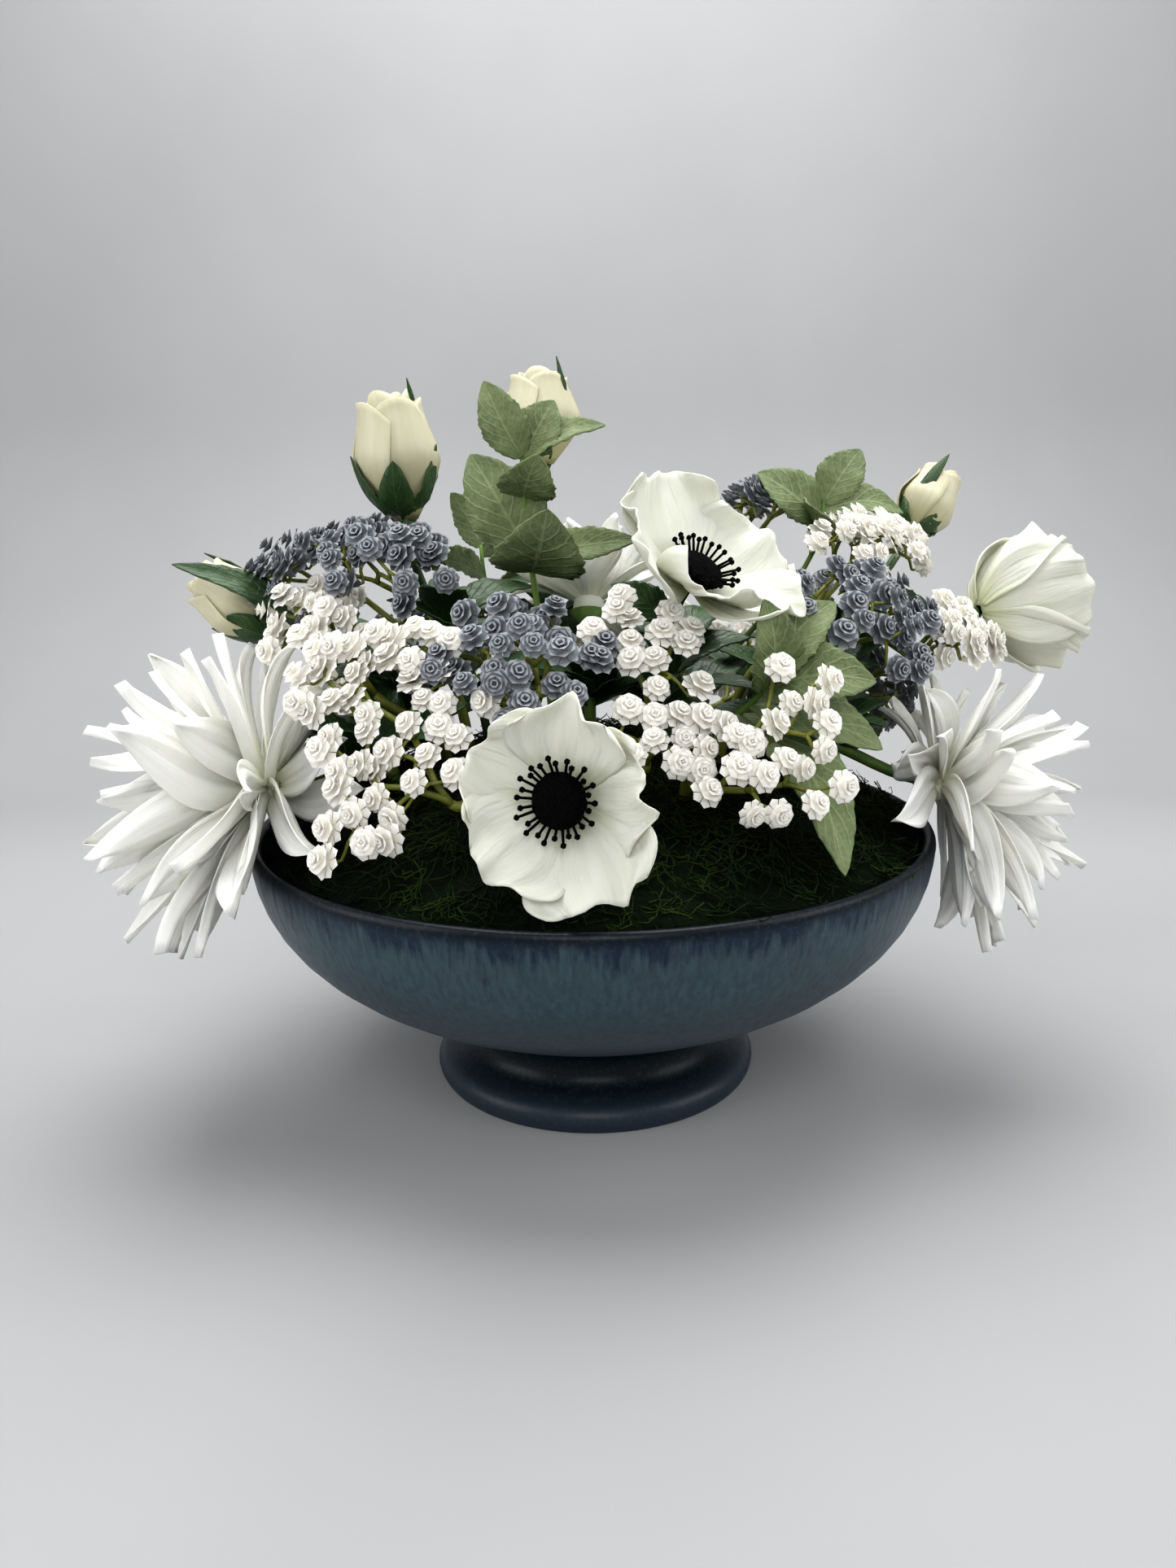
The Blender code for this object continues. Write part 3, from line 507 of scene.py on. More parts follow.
def glaze():
    """The running glaze of the bowl, with painted shade in the hollow over the foot."""
    material, tree, shader, spot = finish_of("running_glaze_with_painted_shade", 0.42, Coat_Weight=0.08, Coat_Roughness=0.2,
                                             Specular_IOR_Level=0.25)
    height = add(tree, "SeparateXYZ", {0: spot}).outputs["Z"]
    runs = use(tree, STREAKS, {"Vector": spot, "Stretch": (1.0, 1.0, 0.16), "Scale": 420.0,
                               "Contrast": 0.42})["Mask"]
    wide = use(tree, STREAKS, {"Vector": spot, "Stretch": (1.0, 1.0, 0.12), "Scale": 90.0,
                               "Contrast": 0.30})["Mask"]
    fine = use(tree, STREAKS, {"Vector": spot, "Stretch": (1.0, 1.0, 0.16), "Scale": 560.0,
                               "Contrast": 0.24})["Mask"]
    blotch = use(tree, SPECKLE, {"Vector": spot, "Scale": 38.0, "Contrast": 0.22})["Mask"]
    grain = use(tree, SPECKLE, {"Vector": spot, "Scale": 700.0, "Contrast": 0.2})["Mask"]
    level = add(tree, "MapRange", {"Value": height, "From Max": 0.0997}).outputs[0]
    bands = add(tree, "ValToRGB", {"Fac": level})
    marks = bands.color_ramp.elements
    while len(marks) < len(BANDS):
        marks.new(0.5)
    for mark, (position, colour) in zip(marks, BANDS):
        mark.position = position
        mark.color = (*colour, 1.0)
    body = ramp(tree, height, 0.028, 0.034)
    tone = blend(tree, maths(tree, "MULTIPLY", blotch, maths(tree, "MULTIPLY", body, 0.40)),
                 bands.outputs[0], (0.045, 0.052, 0.072, 1.0))
    upper = ramp(tree, height, 0.040, 0.080)
    tone = blend(tree, maths(tree, "MULTIPLY", fine, maths(tree, "MULTIPLY", upper, 0.50)), tone,
                 (0.068, 0.120, 0.142, 1.0))
    near_rim = maths(tree, "MULTIPLY", maths(tree, "SUBTRACT", height, 0.0885), 58.0)
    drip = ramp(tree, maths(tree, "ADD", maths(tree, "ADD", runs, maths(tree, "MULTIPLY", wide, 0.45)),
                            near_rim), 0.70, 1.25)
    tone = blend(tree, maths(tree, "MULTIPLY", drip, 0.85), tone, (0.003, 0.015, 0.038, 1.0))
    tone = blend(tree, ramp(tree, height, 0.0945, 0.0985), tone, (0.001, 0.004, 0.009, 1.0))
    tone = blend(tree, maths(tree, "MULTIPLY", ramp(tree, grain, 0.6, 1.0), 0.08), tone,
                 (0.120, 0.160, 0.190, 1.0))
    tree.links.new(tone, shader.inputs["Base Color"])
    tree.links.new(ramp(tree, runs, 0.0, 1.0, 0.38, 0.48), shader.inputs["Roughness"])
    bumped(tree, shader, runs, 0.10, 0.0003)
    return material


GLAZE_WITH_FOOT_SHADE = glaze()
bowl = piece("footed_bowl", turned(bowl_profile(), BOWL_STEPS), GLAZE_WITH_FOOT_SHADE, ("bowl",))

# %% [markdown]
# ## Moss
#
# Preserved moss is a mat of fine, curly strands. A smooth mound alone would look like clay, so the
# mound is only the bottom of it, coloured darker than the strands as painted shade deep in the mat:
# rings of a turned profile, pushed up and down by noise. Over it lie many short strands, each a
# small random walk that is held near the mound's surface.

# %% Mound
MOSS_RISE = 32.0
MOSS_RADIUS = 121.0
MOSS_STRANDS = 3200
STRAND_STEPS = 6


def moss_height(x, y):
    """Height of the smooth mound, in millimetres, at a place in millimetres."""
    return BOWL_HEIGHT + MOSS_RISE * (1 - (math.hypot(x, y) / MOSS_RADIUS) ** 2)


def moss_mound():
    """The lumpy mound, closed below at the level of the foam."""
    top = [(MOSS_RADIUS * k / 44, moss_height(MOSS_RADIUS * k / 44, 0) - 3.0) for k in range(45)]
    shape = turned(top + [(119.0, 92.0), (96.0, 88.4), (0.0, 88.4)], 120)
    for vert in shape.verts:
        if vert.co.z > 0.0955:
            lumps = noise.noise(vert.co * 55) * 3.2 + noise.noise(vert.co * 160) * 1.8
            vert.co.z += lumps * MM
    return shape


def moss_finish(name, dark, light, roughness):
    """Dark green with lighter, yellower places."""
    material, tree, shader, spot = finish_of(name, roughness, Specular_IOR_Level=0.12)
    wide = use(tree, SPECKLE, {"Vector": spot, "Scale": 26.0, "Contrast": 0.16})["Mask"]
    small = use(tree, SPECKLE, {"Vector": spot, "Scale": 240.0, "Contrast": 0.25})["Mask"]
    tone = blend(tree, maths(tree, "MULTIPLY", wide, 0.75), dark, light)
    tone = blend(tree, maths(tree, "MULTIPLY", small, 0.6), tone, dark)
    tree.links.new(tone, shader.inputs["Base Color"])
    bumped(tree, shader, small, 0.8, 0.002)
    return material


# The bed is darker than the strands: painted shade deep in the mat.
MOSS_BED_PAINTED_SHADE = moss_finish("moss_bed_painted_shade", (0.0015, 0.004, 0.001, 1.0), (0.005, 0.012, 0.003, 1.0), 0.95)
MOSS_STRAND = moss_finish("moss_strand", (0.003, 0.010, 0.002, 1.0), (0.050, 0.080, 0.012, 1.0), 0.8)
mound = piece("moss_mound", moss_mound(), MOSS_BED_PAINTED_SHADE, ("moss",))

# %% Strands


def strand(rng, x, y, free):
    """A curly walk of a few steps that starts in the mound and stays near its surface."""
    heading = rng.uniform(0, math.tau)
    rise = rng.uniform(-1.0, 2.0)
    radius = rng.uniform(0.20, 0.44)
    route = []
    for step in range(STRAND_STEPS):
        limit = MOSS_RADIUS + (7.0 if free else 0.0)
        reach = math.hypot(x, y)
        if reach > limit:
            x, y = x * limit / reach, y * limit / reach
        floor_level = moss_height(x, y) if reach < MOSS_RADIUS else BOWL_HEIGHT + 0.8
        level = floor_level - 2.2 + rise
        route.append((mm(x, y, max(level, floor_level - 2.0)), radius * (1.0 - 0.12 * step)))
        heading += rng.uniform(-1.25, 1.25)
        length = rng.uniform(1.8, 4.2)
        x += math.cos(heading) * length
        y += math.sin(heading) * length
        rise += rng.uniform(-1.5, 2.3)
    return route


def moss_strands():
    """Strands strewn over the mound, denser at its edge, a few of them over the rim."""
    rng = random.Random("moss")
    routes = []
    for number in range(MOSS_STRANDS):
        reach = MOSS_RADIUS * math.sqrt(rng.uniform(0.0, 1.0)) * 0.995
        angle = rng.uniform(0, math.tau)
        free = reach > 114 and -1.35 < angle - math.tau * (angle > math.pi) < -0.55
        routes.append(strand(rng, reach * math.cos(angle), reach * math.sin(angle), free))
    return tubes(routes, 0)


strands = piece("moss_strands", moss_strands(), MOSS_STRAND, ("moss",))

# %% [markdown]
# The floral foam under the moss can't be seen, so its plain solid stays as it is and only gets a
# finish: dull green, with the tiny open cells of foam.

# %% Foam finish


def foam_finish():
    """Dull green foam with open cells."""
    material, tree, shader, spot = finish_of("foam_cells", 0.95)
    cells = add(tree, "TexVoronoi", {"Vector": spot, "Scale": 900.0}).outputs["Distance"]
    tone = blend(tree, cells, (0.030, 0.080, 0.026, 1.0), (0.085, 0.160, 0.070, 1.0))
    tree.links.new(tone, shader.inputs["Base Color"])
    bumped(tree, shader, cells, 0.6, 0.0006)
    return material


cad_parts["floral_foam"].data.materials.clear()
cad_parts["floral_foam"].data.materials.append(foam_finish())
print("foam has its finish")

# %% [markdown]
# ## Petals and stems: their finishes
#
# The petals are soft moulded foam: nearly white and satin. At the root they are green-yellow and
# darker, partly their own tint and partly painted shade where they crowd together. The tint follows
# the blade's own map, from root to tip, so each petal has it. Fine fibres run along the petal as
# streaks, in both the colour and the bump. A little light goes through such a thin sheet, which the
# subsurface weight gives.

# %% Petal and stem finishes


def petal_finish(name, root, tip, shade, root_tint_and_shade_reach, fibre, relief, roughness=0.5, glow=0.12):
    """A petal with lengthwise fibres and a root that is tinted and darkened as painted shade."""
    material, tree, shader, spot = finish_of(name, roughness, Subsurface_Weight=glow,
                                             Subsurface_Scale=0.0025)
    shader.inputs["Subsurface Radius"].default_value = (1.0, 0.95, 0.7)
    chart = add(tree, "UVMap", uv_map=MAP).outputs["UV"]
    along = add(tree, "SeparateXYZ", {0: chart}).outputs["Y"]
    fibres = use(tree, STREAKS, {"Vector": chart, "Stretch": (1.0, 0.16, 1.0), "Scale": fibre,
                                 "Contrast": 0.25})["Mask"]
    cloud = use(tree, SPECKLE, {"Vector": spot, "Scale": 90.0, "Contrast": 0.25})["Mask"]
    # The root colour is partly the petal's own tint and partly painted shade where the petals crowd.
    tone = blend(tree, ramp(tree, along, 0.0, root_tint_and_shade_reach), root, tip)
    tone = blend(tree, maths(tree, "MULTIPLY", fibres, 0.30), tone, shade)
    tone = blend(tree, maths(tree, "MULTIPLY", cloud, 0.20), tone, shade)
    tree.links.new(tone, shader.inputs["Base Color"])
    tree.links.new(ramp(tree, fibres, 0.0, 1.0, roughness - 0.06, roughness + 0.08),
                   shader.inputs["Roughness"])
    bumped(tree, shader, fibres, relief, 0.0006)
    return material


def stem_finish(name, dark, light, roughness=0.5):
    """A moulded green stem, lighter and darker in lengthwise streaks."""
    material, tree, shader, spot = finish_of(name, roughness)
    fibres = use(tree, STREAKS, {"Vector": spot, "Stretch": (1.0, 1.0, 0.2), "Scale": 400.0,
                                 "Contrast": 0.25})["Mask"]
    cloud = use(tree, SPECKLE, {"Vector": spot, "Scale": 60.0, "Contrast": 0.2})["Mask"]
    tone = blend(tree, cloud, dark, light)
    tone = blend(tree, maths(tree, "MULTIPLY", fibres, 0.4), tone, dark)
    tree.links.new(tone, shader.inputs["Base Color"])
    bumped(tree, shader, fibres, 0.3, 0.0004)
    return material


DAHLIA_PETAL = petal_finish("dahlia_petal", (0.80, 0.81, 0.62, 1), (0.96, 0.96, 0.91, 1),
                            (0.90, 0.90, 0.82, 1), 0.45, 14.0, 0.30, glow=0.40)
ANEMONE_PETAL = petal_finish("anemone_petal", (0.52, 0.56, 0.33, 1), (0.74, 0.745, 0.665, 1),
                             (0.59, 0.61, 0.48, 1), 0.50, 9.0, 0.85)
ROSE_PETAL = petal_finish("rose_petal", (0.40, 0.38, 0.18, 1), (0.66, 0.63, 0.465, 1),
                          (0.54, 0.51, 0.33, 1), 0.65, 10.0, 0.30)
OLIVE_STEM = stem_finish("olive_stem", (0.110, 0.130, 0.016, 1), (0.270, 0.285, 0.045, 1), 0.42)
PALE_STEM = stem_finish("pale_stem", (0.090, 0.180, 0.030, 1), (0.200, 0.300, 0.070, 1), 0.45)
DARK_STEM = stem_finish("dark_stem", (0.016, 0.050, 0.012, 1), (0.050, 0.105, 0.030, 1), 0.5)
print("petal and stem finishes ready")

# %% [markdown]
# Leaves come in two finishes that share the group of veins: pale, felted sage leaves, and dark,
# smooth rose leaves. The veins lighten the colour and stand up in the bump. The toothed outline, the
# fold along the midrib and the soft waves are in the blade itself.

# %% Leaf finishes


def leaf_finish(name, dark, light, vein, count, roughness, relief):
    """A leaf with a midrib, side veins and soft blotches."""
    material, tree, shader, spot = finish_of(name, roughness)
    chart = add(tree, "UVMap", uv_map=MAP).outputs["UV"]
    veins = use(tree, VEINS, {"Map": chart, "Count": count, "Slant": 0.34, "Width": 0.15})["Mask"]
    felt = use(tree, SPECKLE, {"Vector": spot, "Scale": 700.0, "Contrast": 0.2})["Mask"]
    cloud = use(tree, SPECKLE, {"Vector": spot, "Scale": 75.0, "Contrast": 0.2})["Mask"]
    tone = blend(tree, cloud, dark, light)
    tone = blend(tree, maths(tree, "MULTIPLY", felt, 0.30), tone, vein)
    tone = blend(tree, maths(tree, "MULTIPLY", veins, 0.55), tone, vein)
    tree.links.new(tone, shader.inputs["Base Color"])
    bumped(tree, shader, maths(tree, "ADD", veins, maths(tree, "MULTIPLY", felt, 0.3)), relief, 0.0006)
    return material


SAGE_LEAF = leaf_finish("sage_leaf", (0.098, 0.136, 0.054, 1), (0.168, 0.216, 0.096, 1),
                        (0.300, 0.360, 0.190, 1), 7.0, 0.72, 0.5)
ROSE_LEAF = leaf_finish("rose_leaf", (0.012, 0.042, 0.010, 1), (0.028, 0.075, 0.018, 1),
                        (0.060, 0.125, 0.035, 1), 8.0, 0.42, 0.5)


def leaf(shape, base, tip, width, facing, teeth=12, fold=0.24, droop=0.10, rows=36, across=8):
    """A leaf with a toothed edge, folded along its midrib, that droops to its tip."""
    along = tip - base
    length = along.length
    ahead = along.normalized()
    level = ahead.cross(Vector(facing)).normalized()
    up = level.cross(ahead)
    phase = (base.x + tip.y) * 900

    def place(u, v):
        outline = max(0.0, math.sin(math.pi * v ** 0.82)) ** 0.72
        saw = (v * teeth) % 1.0 - 0.5
        half = width / 2 * (outline * (1 + 0.10 * saw) if 0 < v < 1 else 0.0) + (0.5 if v < 0.03 else 0.0)
        sway = 0.05 * length * math.sin(math.pi * v) * math.sin(phase)
        rise = length * droop * math.sin(math.pi * v) * 1.1 - length * droop * 0.4 * v * v
        ripple = 0.35 * math.sin(v * 19 + phase + (3 if u > 0 else 0)) * abs(u) * outline
        quilt = 0.30 * math.cos(math.tau * 7.0 * (v - 0.34 * abs(u))) * min(1.0, 3 * abs(u)) * outline
        lift = (fold * abs(u) * half + ripple + quilt) * MM
        return base + ahead * length * v + level * (half * u * MM + sway) + up * (rise + lift)

    blade(shape, across, rows, place)


print("leaf finishes ready")

# %% [markdown]
# ## Anemones
#
# An anemone has five broad petals round a black eye. A petal is one wide blade: its outline comes
# from how far each column reaches, its cup from a rise along it, and its crinkles from waves that
# grow towards the edge. The petals overlap like roof tiles, so each starts a little higher.

# %% Anemone petals
ANEMONES = (
    ("anemone_front", (-8, -70), (-8, -109, 134), (-0.34, -0.91, 0.18), (28, 29, 30, 31, 34), 8.5, 12),
    ("anemone_top", (28, -16), (35, -40, 192), (0.46, -0.50, 0.73), (32, 36, 33, 29, 34), 15.5, 16),
    ("anemone_right", (73, 5), (147, 5, 176), (0.93, 0.30, 0.14), (29, 28, 29, 28, 30), 27.0, 18),
    ("anemone_back", (20, 72), (26, 108, 146), (0.12, 0.95, 0.30), (34, 33, 34, 33, 34), 6.0, 10),
)
PETAL_SHARE = 0.655
TILE_LIFT = (0.0, 2.4, 0.9, 3.2, 1.7)


def anemone_petal(shape, centre, axis, side, length, cup, lift, rng):
    """One broad, crinkled petal."""
    across = axis.cross(side)
    broad = PETAL_SHARE * length
    tilt = [rng.uniform(0, math.tau) for k in range(5)]
    crease = rng.uniform(-0.4, 0.4)

    def place(u, v):
        if v < 0.70:
            half = 4.2 + (broad - 4.2) * math.sin(math.pi / 2 * v / 0.70)
        else:
            half = broad * (1 - 0.26 * ((v - 0.70) / 0.30) ** 2)
        edge = 1.3 * math.sin(4.2 * u + tilt[0]) + 0.9 * math.sin(9.0 * u + tilt[1])
        reach = 2.0 + (length - 2.0) * v - 6.0 * u * u * v * v + edge * v ** 3
        rim = v ** 4 + abs(u) ** 5 * v
        wave = 1.8 * math.sin(3.4 * u + tilt[2]) * v * v + 1.4 * rim * math.sin(7.0 * (u + v) + tilt[3])
        folds = 0.62 * math.sin(12.0 * u + tilt[4] + 1.5 * v) * v + 0.30 * math.sin(22.0 * u - 2 * v) * v
        fold = -1.4 * math.exp(-((u - crease) / 0.12) ** 2) * v * (1 - 0.4 * v)
        rise = cup * v ** 1.7 - 2.2 + 1.6 * u * u * v
        slope = math.atan2(1.7 * cup * v ** 0.7, length)
        inward = axis * math.cos(slope) - side * math.sin(slope)
        spot = side * reach + across * half * u + axis * rise
        return centre + (spot + inward * (lift * min(1.0, 2.5 * v) + wave + folds + fold)) * MM

    blade(shape, 22, 18, place)


def anemone_petals(name, centre, facing, lengths, cup, first):
    """All five petals in one mesh."""
    rng = random.Random(name)
    centre, axis = mm(*centre), Vector(facing).normalized()
    level, steep = frame_about(axis)
    shape = bmesh.new()
    for k, length in enumerate(lengths):
        turn = math.tau * k / len(lengths) + math.radians(first)
        side = level * math.cos(turn) + steep * math.sin(turn)
        anemone_petal(shape, centre, axis, side, length, cup, TILE_LIFT[k], rng)
    return piece(name + "_crinkled_petals", shape, ANEMONE_PETAL, (name + "_petals",), 0.5)


for name, root, centre, facing, lengths, cup, first in ANEMONES:
    keep_clear_of(anemone_petals(name, centre, facing, lengths, cup, first))

# %% [markdown]
# The eye is a flat black button with a furry surface, and round it stands a wreath of stamens: thin
# threads, long and short in turn, each with a small ball at its end. The button is an icosphere
# pressed flat and roughened; a thread is a slim cone and its ball a small icosphere.

# %% Anemone eyes
EYE_RADIUS = 8.3
STAMENS = 28


def stamen(shape, start, end):
    """A thread with a ball on its end."""
    span = end - start
    turn = span.to_track_quat("Z", "Y").to_matrix().to_4x4()
    bmesh.ops.create_cone(shape, cap_ends=True, segments=5, radius1=0.00050, radius2=0.00042,
                          depth=span.length, matrix=Matrix.Translation((start + end) / 2) @ turn)
    bmesh.ops.create_icosphere(shape, subdivisions=1, radius=0.00102, matrix=Matrix.Translation(end))


def anemone_eye(name, centre, facing, cup):
    """The button and its wreath of stamens."""
    rng = random.Random(name + "_eye")
    axis = Vector(facing).normalized()
    level, steep = frame_about(axis)
    seat = mm(*centre) + axis * 3.7 * MM
    turn = axis.to_track_quat("Z", "Y").to_matrix().to_4x4()
    place = Matrix.Translation(seat) @ turn @ Matrix.Diagonal((1, 1, 0.44, 1))
    shape = bmesh.new()
    button = bmesh.ops.create_icosphere(shape, subdivisions=4, radius=EYE_RADIUS * MM, matrix=place)
    for vert in button["verts"]:
        vert.co += (vert.co - seat).normalized() * rng.uniform(-0.35, 0.35) * MM
    for k in range(STAMENS):
        angle = math.tau * (k + rng.uniform(-0.2, 0.2)) / STAMENS
        side = level * math.cos(angle) + steep * math.sin(angle)
        reach = (12.2, 10.6)[k % 2] + rng.uniform(-0.5, 0.5)
        lift = rng.uniform(0.6, 1.8) + cup * 0.22
        stamen(shape, seat + (side * 6.5 + axis * 0.5) * MM, seat + (side * reach + axis * lift) * MM)
    return piece(name + "_button", shape, BLACK_EYE, (name + "_eye",))


def black_finish():
    """Velvety black with a faint grain."""
    material, tree, shader, spot = finish_of("black_velvet", 0.9, Specular_IOR_Level=0.08)
    grain = use(tree, SPECKLE, {"Vector": spot, "Scale": 1500.0, "Contrast": 0.2})["Mask"]
    tone = blend(tree, grain, (0.0006, 0.0006, 0.0008, 1.0), (0.004, 0.004, 0.005, 1.0))
    tree.links.new(tone, shader.inputs["Base Color"])
    bumped(tree, shader, grain, 0.7, 0.0006)
    return material


BLACK_EYE = black_finish()
for name, root, centre, facing, lengths, cup, first in ANEMONES:
    anemone_eye(name, centre, facing, cup)

# %% [markdown]
# ## Stems
#
# Every flower stands on a stem that goes straight down through the moss and then bends to its
# flower in one curve. A Bezier between the two gives that bend: it leaves along the straight part
# and arrives along the flower's own axis.

# %% Stem routes
STEM_FOOT = 66.0
STEM_LEAN = 0.8
STEM_LIFT = 4.0
STEM_POINTS = 12


def stem_route(root, head, arrive, points=STEM_POINTS):
    """Straight up through the foam and moss, then one smooth bend to the head."""
    x, y = root
    low = mm(x * STEM_LEAN, y * STEM_LEAN, STEM_FOOT)
    out = mm(x, y, moss_height(x, y) + STEM_LIFT)
    rise = (out - low).normalized()
    hold = (head - out).length * 0.4
    bend = interpolate_bezier(out, out + rise * hold, head - arrive.normalized() * hold, head, points)
    return [low, *bend]


def thick(route, start, end):
    """Give each place on a route its radius, from start to end."""
    last = len(route) - 1
    return [(place, start + (end - start) * k / last) for k, place in enumerate(route)]


def closest_on(route, point):
    """The nearest place to a point on a route of straight stretches, above the moss."""
    best = None
    for start, end in zip(route[1:], route[2:]):
        span = end - start
        share = max(0.0, min(1.0, (point - start).dot(span) / span.length_squared))
        place = start + span * share
        if best is None or (place - point).length < (best - point).length:
            best = place
    return best


STEM_LEAVES = (
    ("rose_left", (-102, 13, 158), (-147, -10, 199), 15, (0.2, -0.6, 0.75)),
    ("anemone_top", (33, -26, 176), (8, -32, 190), 13, (0.0, -0.8, 0.6)),
    ("rose_back_right", (112, 62, 176), (146, 72, 168), 18, (0.2, 0.1, 0.95)),
)


def stem_leaves(name, route):
    """The dark leaves of one stem, as a piece of their own, if it has any."""
    shape = bmesh.new()
    for owner, base, tip, width, facing in STEM_LEAVES:
        if owner == name:
            leaf(shape, closest_on(route, mm(*base)), mm(*tip), width, facing, teeth=10)
    if shape.faces:
        piece(name + "_leaf", shape, ROSE_LEAF, (name + "_stem",), 0.5)
    else:
        shape.free()


# %% [markdown]
# Deep among the flowers the photograph shows only darkness and the edges of dark leaves. The stems
# carry a few leaves there, spread round each stem by a fixed turn, so that nobody looks through the
# arrangement from any side.

# %% Low leaves
LOW_LEAVES = 9
LOW_LEAF_TURN = 2.4


def low_leaves(name, route, spread=0.55):
    """Leaves that stand out from a stem between its foot and its middle, deep among the flowers."""
    rng = random.Random(name + "_low")
    shape = bmesh.new()
    for k in range(LOW_LEAVES):
        share = 0.10 + spread * k / LOW_LEAVES
        base = route[1 + round(share * (len(route) - 2))]
        angle = LOW_LEAF_TURN * k + rng.uniform(0, 1.0)
        away = Vector((math.cos(angle), math.sin(angle), rng.uniform(0.25, 0.75)))
        tip = base + away.normalized() * rng.uniform(30, 44) * MM
        reach = math.hypot(tip.x, tip.y) / MM
        if reach > 108:
            tip.x, tip.y = tip.x * 108 / reach, tip.y * 108 / reach
        tip.z = max(tip.z, (moss_height(min(reach, 108), 0) + 8) * MM)
        leaf(shape, base, tip, rng.uniform(14, 19), (0.1, -0.3, 0.9), teeth=8, rows=20, across=6)
    piece(name + "_low_leaves", shape, ROSE_LEAF, (name + "_stem",), 0.5)


for name, root, centre, facing, lengths, cup, first in ANEMONES:
    axis = Vector(facing).normalized()
    route = stem_route(root, mm(*centre) - axis * 3.0 * MM, axis)
    if name != "anemone_front":
        low_leaves(name, route)
    piece(name + "_stalk", tubes([thick(route, 1.8, 1.7)], 2), DARK_STEM, (name + "_stem",))
    stem_leaves(name, route)

# %% [markdown]
# ## Dahlias
#
# The dahlias are spidery: rings of long petals, each a channel with two soft ridges, that stand
# round the middle at a wider and wider angle. One petal is a blade laid along a bending line, and
# the line's bend, twist and hooked tip are a little different each time. A petal that would run
# into the bowl or the moss is tried again at a smaller angle.

# %% Dahlia petals
OPEN_RINGS = ((6, 3, 44, -10), (18, 5, 56, -6), (31, 7, 61, 2), (45, 8, 62, 8), (59, 9, 60, 12),
              (73, 9, 58, 16), (88, 8, 56, 16), (104, 8, 53, 6), (121, 7, 46, -16))
HALF_OPEN_RINGS = ((8, 4, 38, -3), (22, 6, 44, 2), (38, 8, 48, 10), (56, 8, 46, 18))
DAHLIAS = (
    ("dahlia_left", (-72, -20), (-112, -35, 121), (-0.93, -0.34, 0.10), OPEN_RINGS, 1.12),
    ("dahlia_right", (74, -9), (127, -15, 115), (0.93, -0.34, -0.10), OPEN_RINGS, 0.96),
    ("dahlia_back", (0, 24), (0, 36, 176), (0.02, 0.42, 0.90), HALF_OPEN_RINGS, 1.0),
)
PETAL_ROWS = 16
PETAL_WIDEST = 0.50
PETAL_ROOT = 4.0
PETAL_DROOP = 6.0


def petal_line(base, axis, side, polar, curl, length, hook):
    """Places, and the directions that face the flower's middle, down a bending petal."""
    places = []
    spot = base + (axis * math.cos(math.radians(polar)) + side * math.sin(math.radians(polar))) * PETAL_ROOT * MM
    for row in range(PETAL_ROWS + 1):
        share = row / PETAL_ROWS
        angle = math.radians(polar + curl * share ** 2 + hook * max(0.0, share - 0.7) ** 2 * 11)
        forward = axis * math.cos(angle) + side * math.sin(angle)
        inner = axis * math.sin(angle) - side * math.cos(angle)
        sunk = Vector((0, 0, PETAL_DROOP * share ** 2)) * MM
        places.append((spot - sunk, inner))
        spot += forward * (length - PETAL_ROOT) / PETAL_ROWS * MM
    return places


def in_the_bowl(places):
    """True where a run of places goes into the bowl or the moss."""
    for spot, inner in places[2:]:
        x, y, z = spot / MM
        reach = math.hypot(x, y)
        if z < BOWL_HEIGHT + 2 and z > 30 and reach < body_radius(min(z, BOWL_HEIGHT - 0.1)) + 5:
            return True
        if reach < BOWL_RADIUS and z < moss_height(min(reach, MOSS_RADIUS), 0) + 3:
            return True
    return False


def strap_petal(shape, base, axis, side, polar, length, curl, rng):
    """One long channelled petal with a rounded, slightly hooked tip."""
    hook = rng.uniform(-15, 22)
    bend = rng.uniform(-10.0, 10.0)
    sway = rng.uniform(-3.5, 3.5)
    twist = rng.uniform(-0.95, 0.95)
    width = (4.6 + 0.215 * length) * rng.uniform(0.84, 1.14)
    deep = rng.uniform(0.08, 0.24)
    curl += rng.uniform(-18, 18)
    for attempt in range(9):
        line = petal_line(base, axis, side, polar - 8 * attempt, curl, length, hook)
        if not in_the_bowl(line):
            break
    across = axis.cross(side).normalized()

    def place(u, v):
        spot, inner = line[round(v * PETAL_ROWS)]
        if v < PETAL_WIDEST:
            half = width / 2 * (0.30 + 0.70 * math.sin(math.pi / 2 * v / PETAL_WIDEST))
        else:
            half = width / 2 * max(0.02, 1 - ((v - PETAL_WIDEST) / (1 - PETAL_WIDEST)) ** 1.8)
        spin = twist * v
        over = across * math.cos(spin) + inner * math.sin(spin)
        lift = inner * math.cos(spin) - across * math.sin(spin)
        channel = deep * width * u * u + 0.065 * width * math.cos(math.tau * 1.5 * u) * math.sin(math.pi * v)
        waver = 0.7 * math.sin(6 * v + 3 * u + twist * 9)
        drift = bend * v * v + sway * math.sin(math.pi * 1.6 * v)
        return spot + over * (half * u + drift) * MM + lift * (channel + waver * v) * MM

    blade(shape, 8, PETAL_ROWS, place)


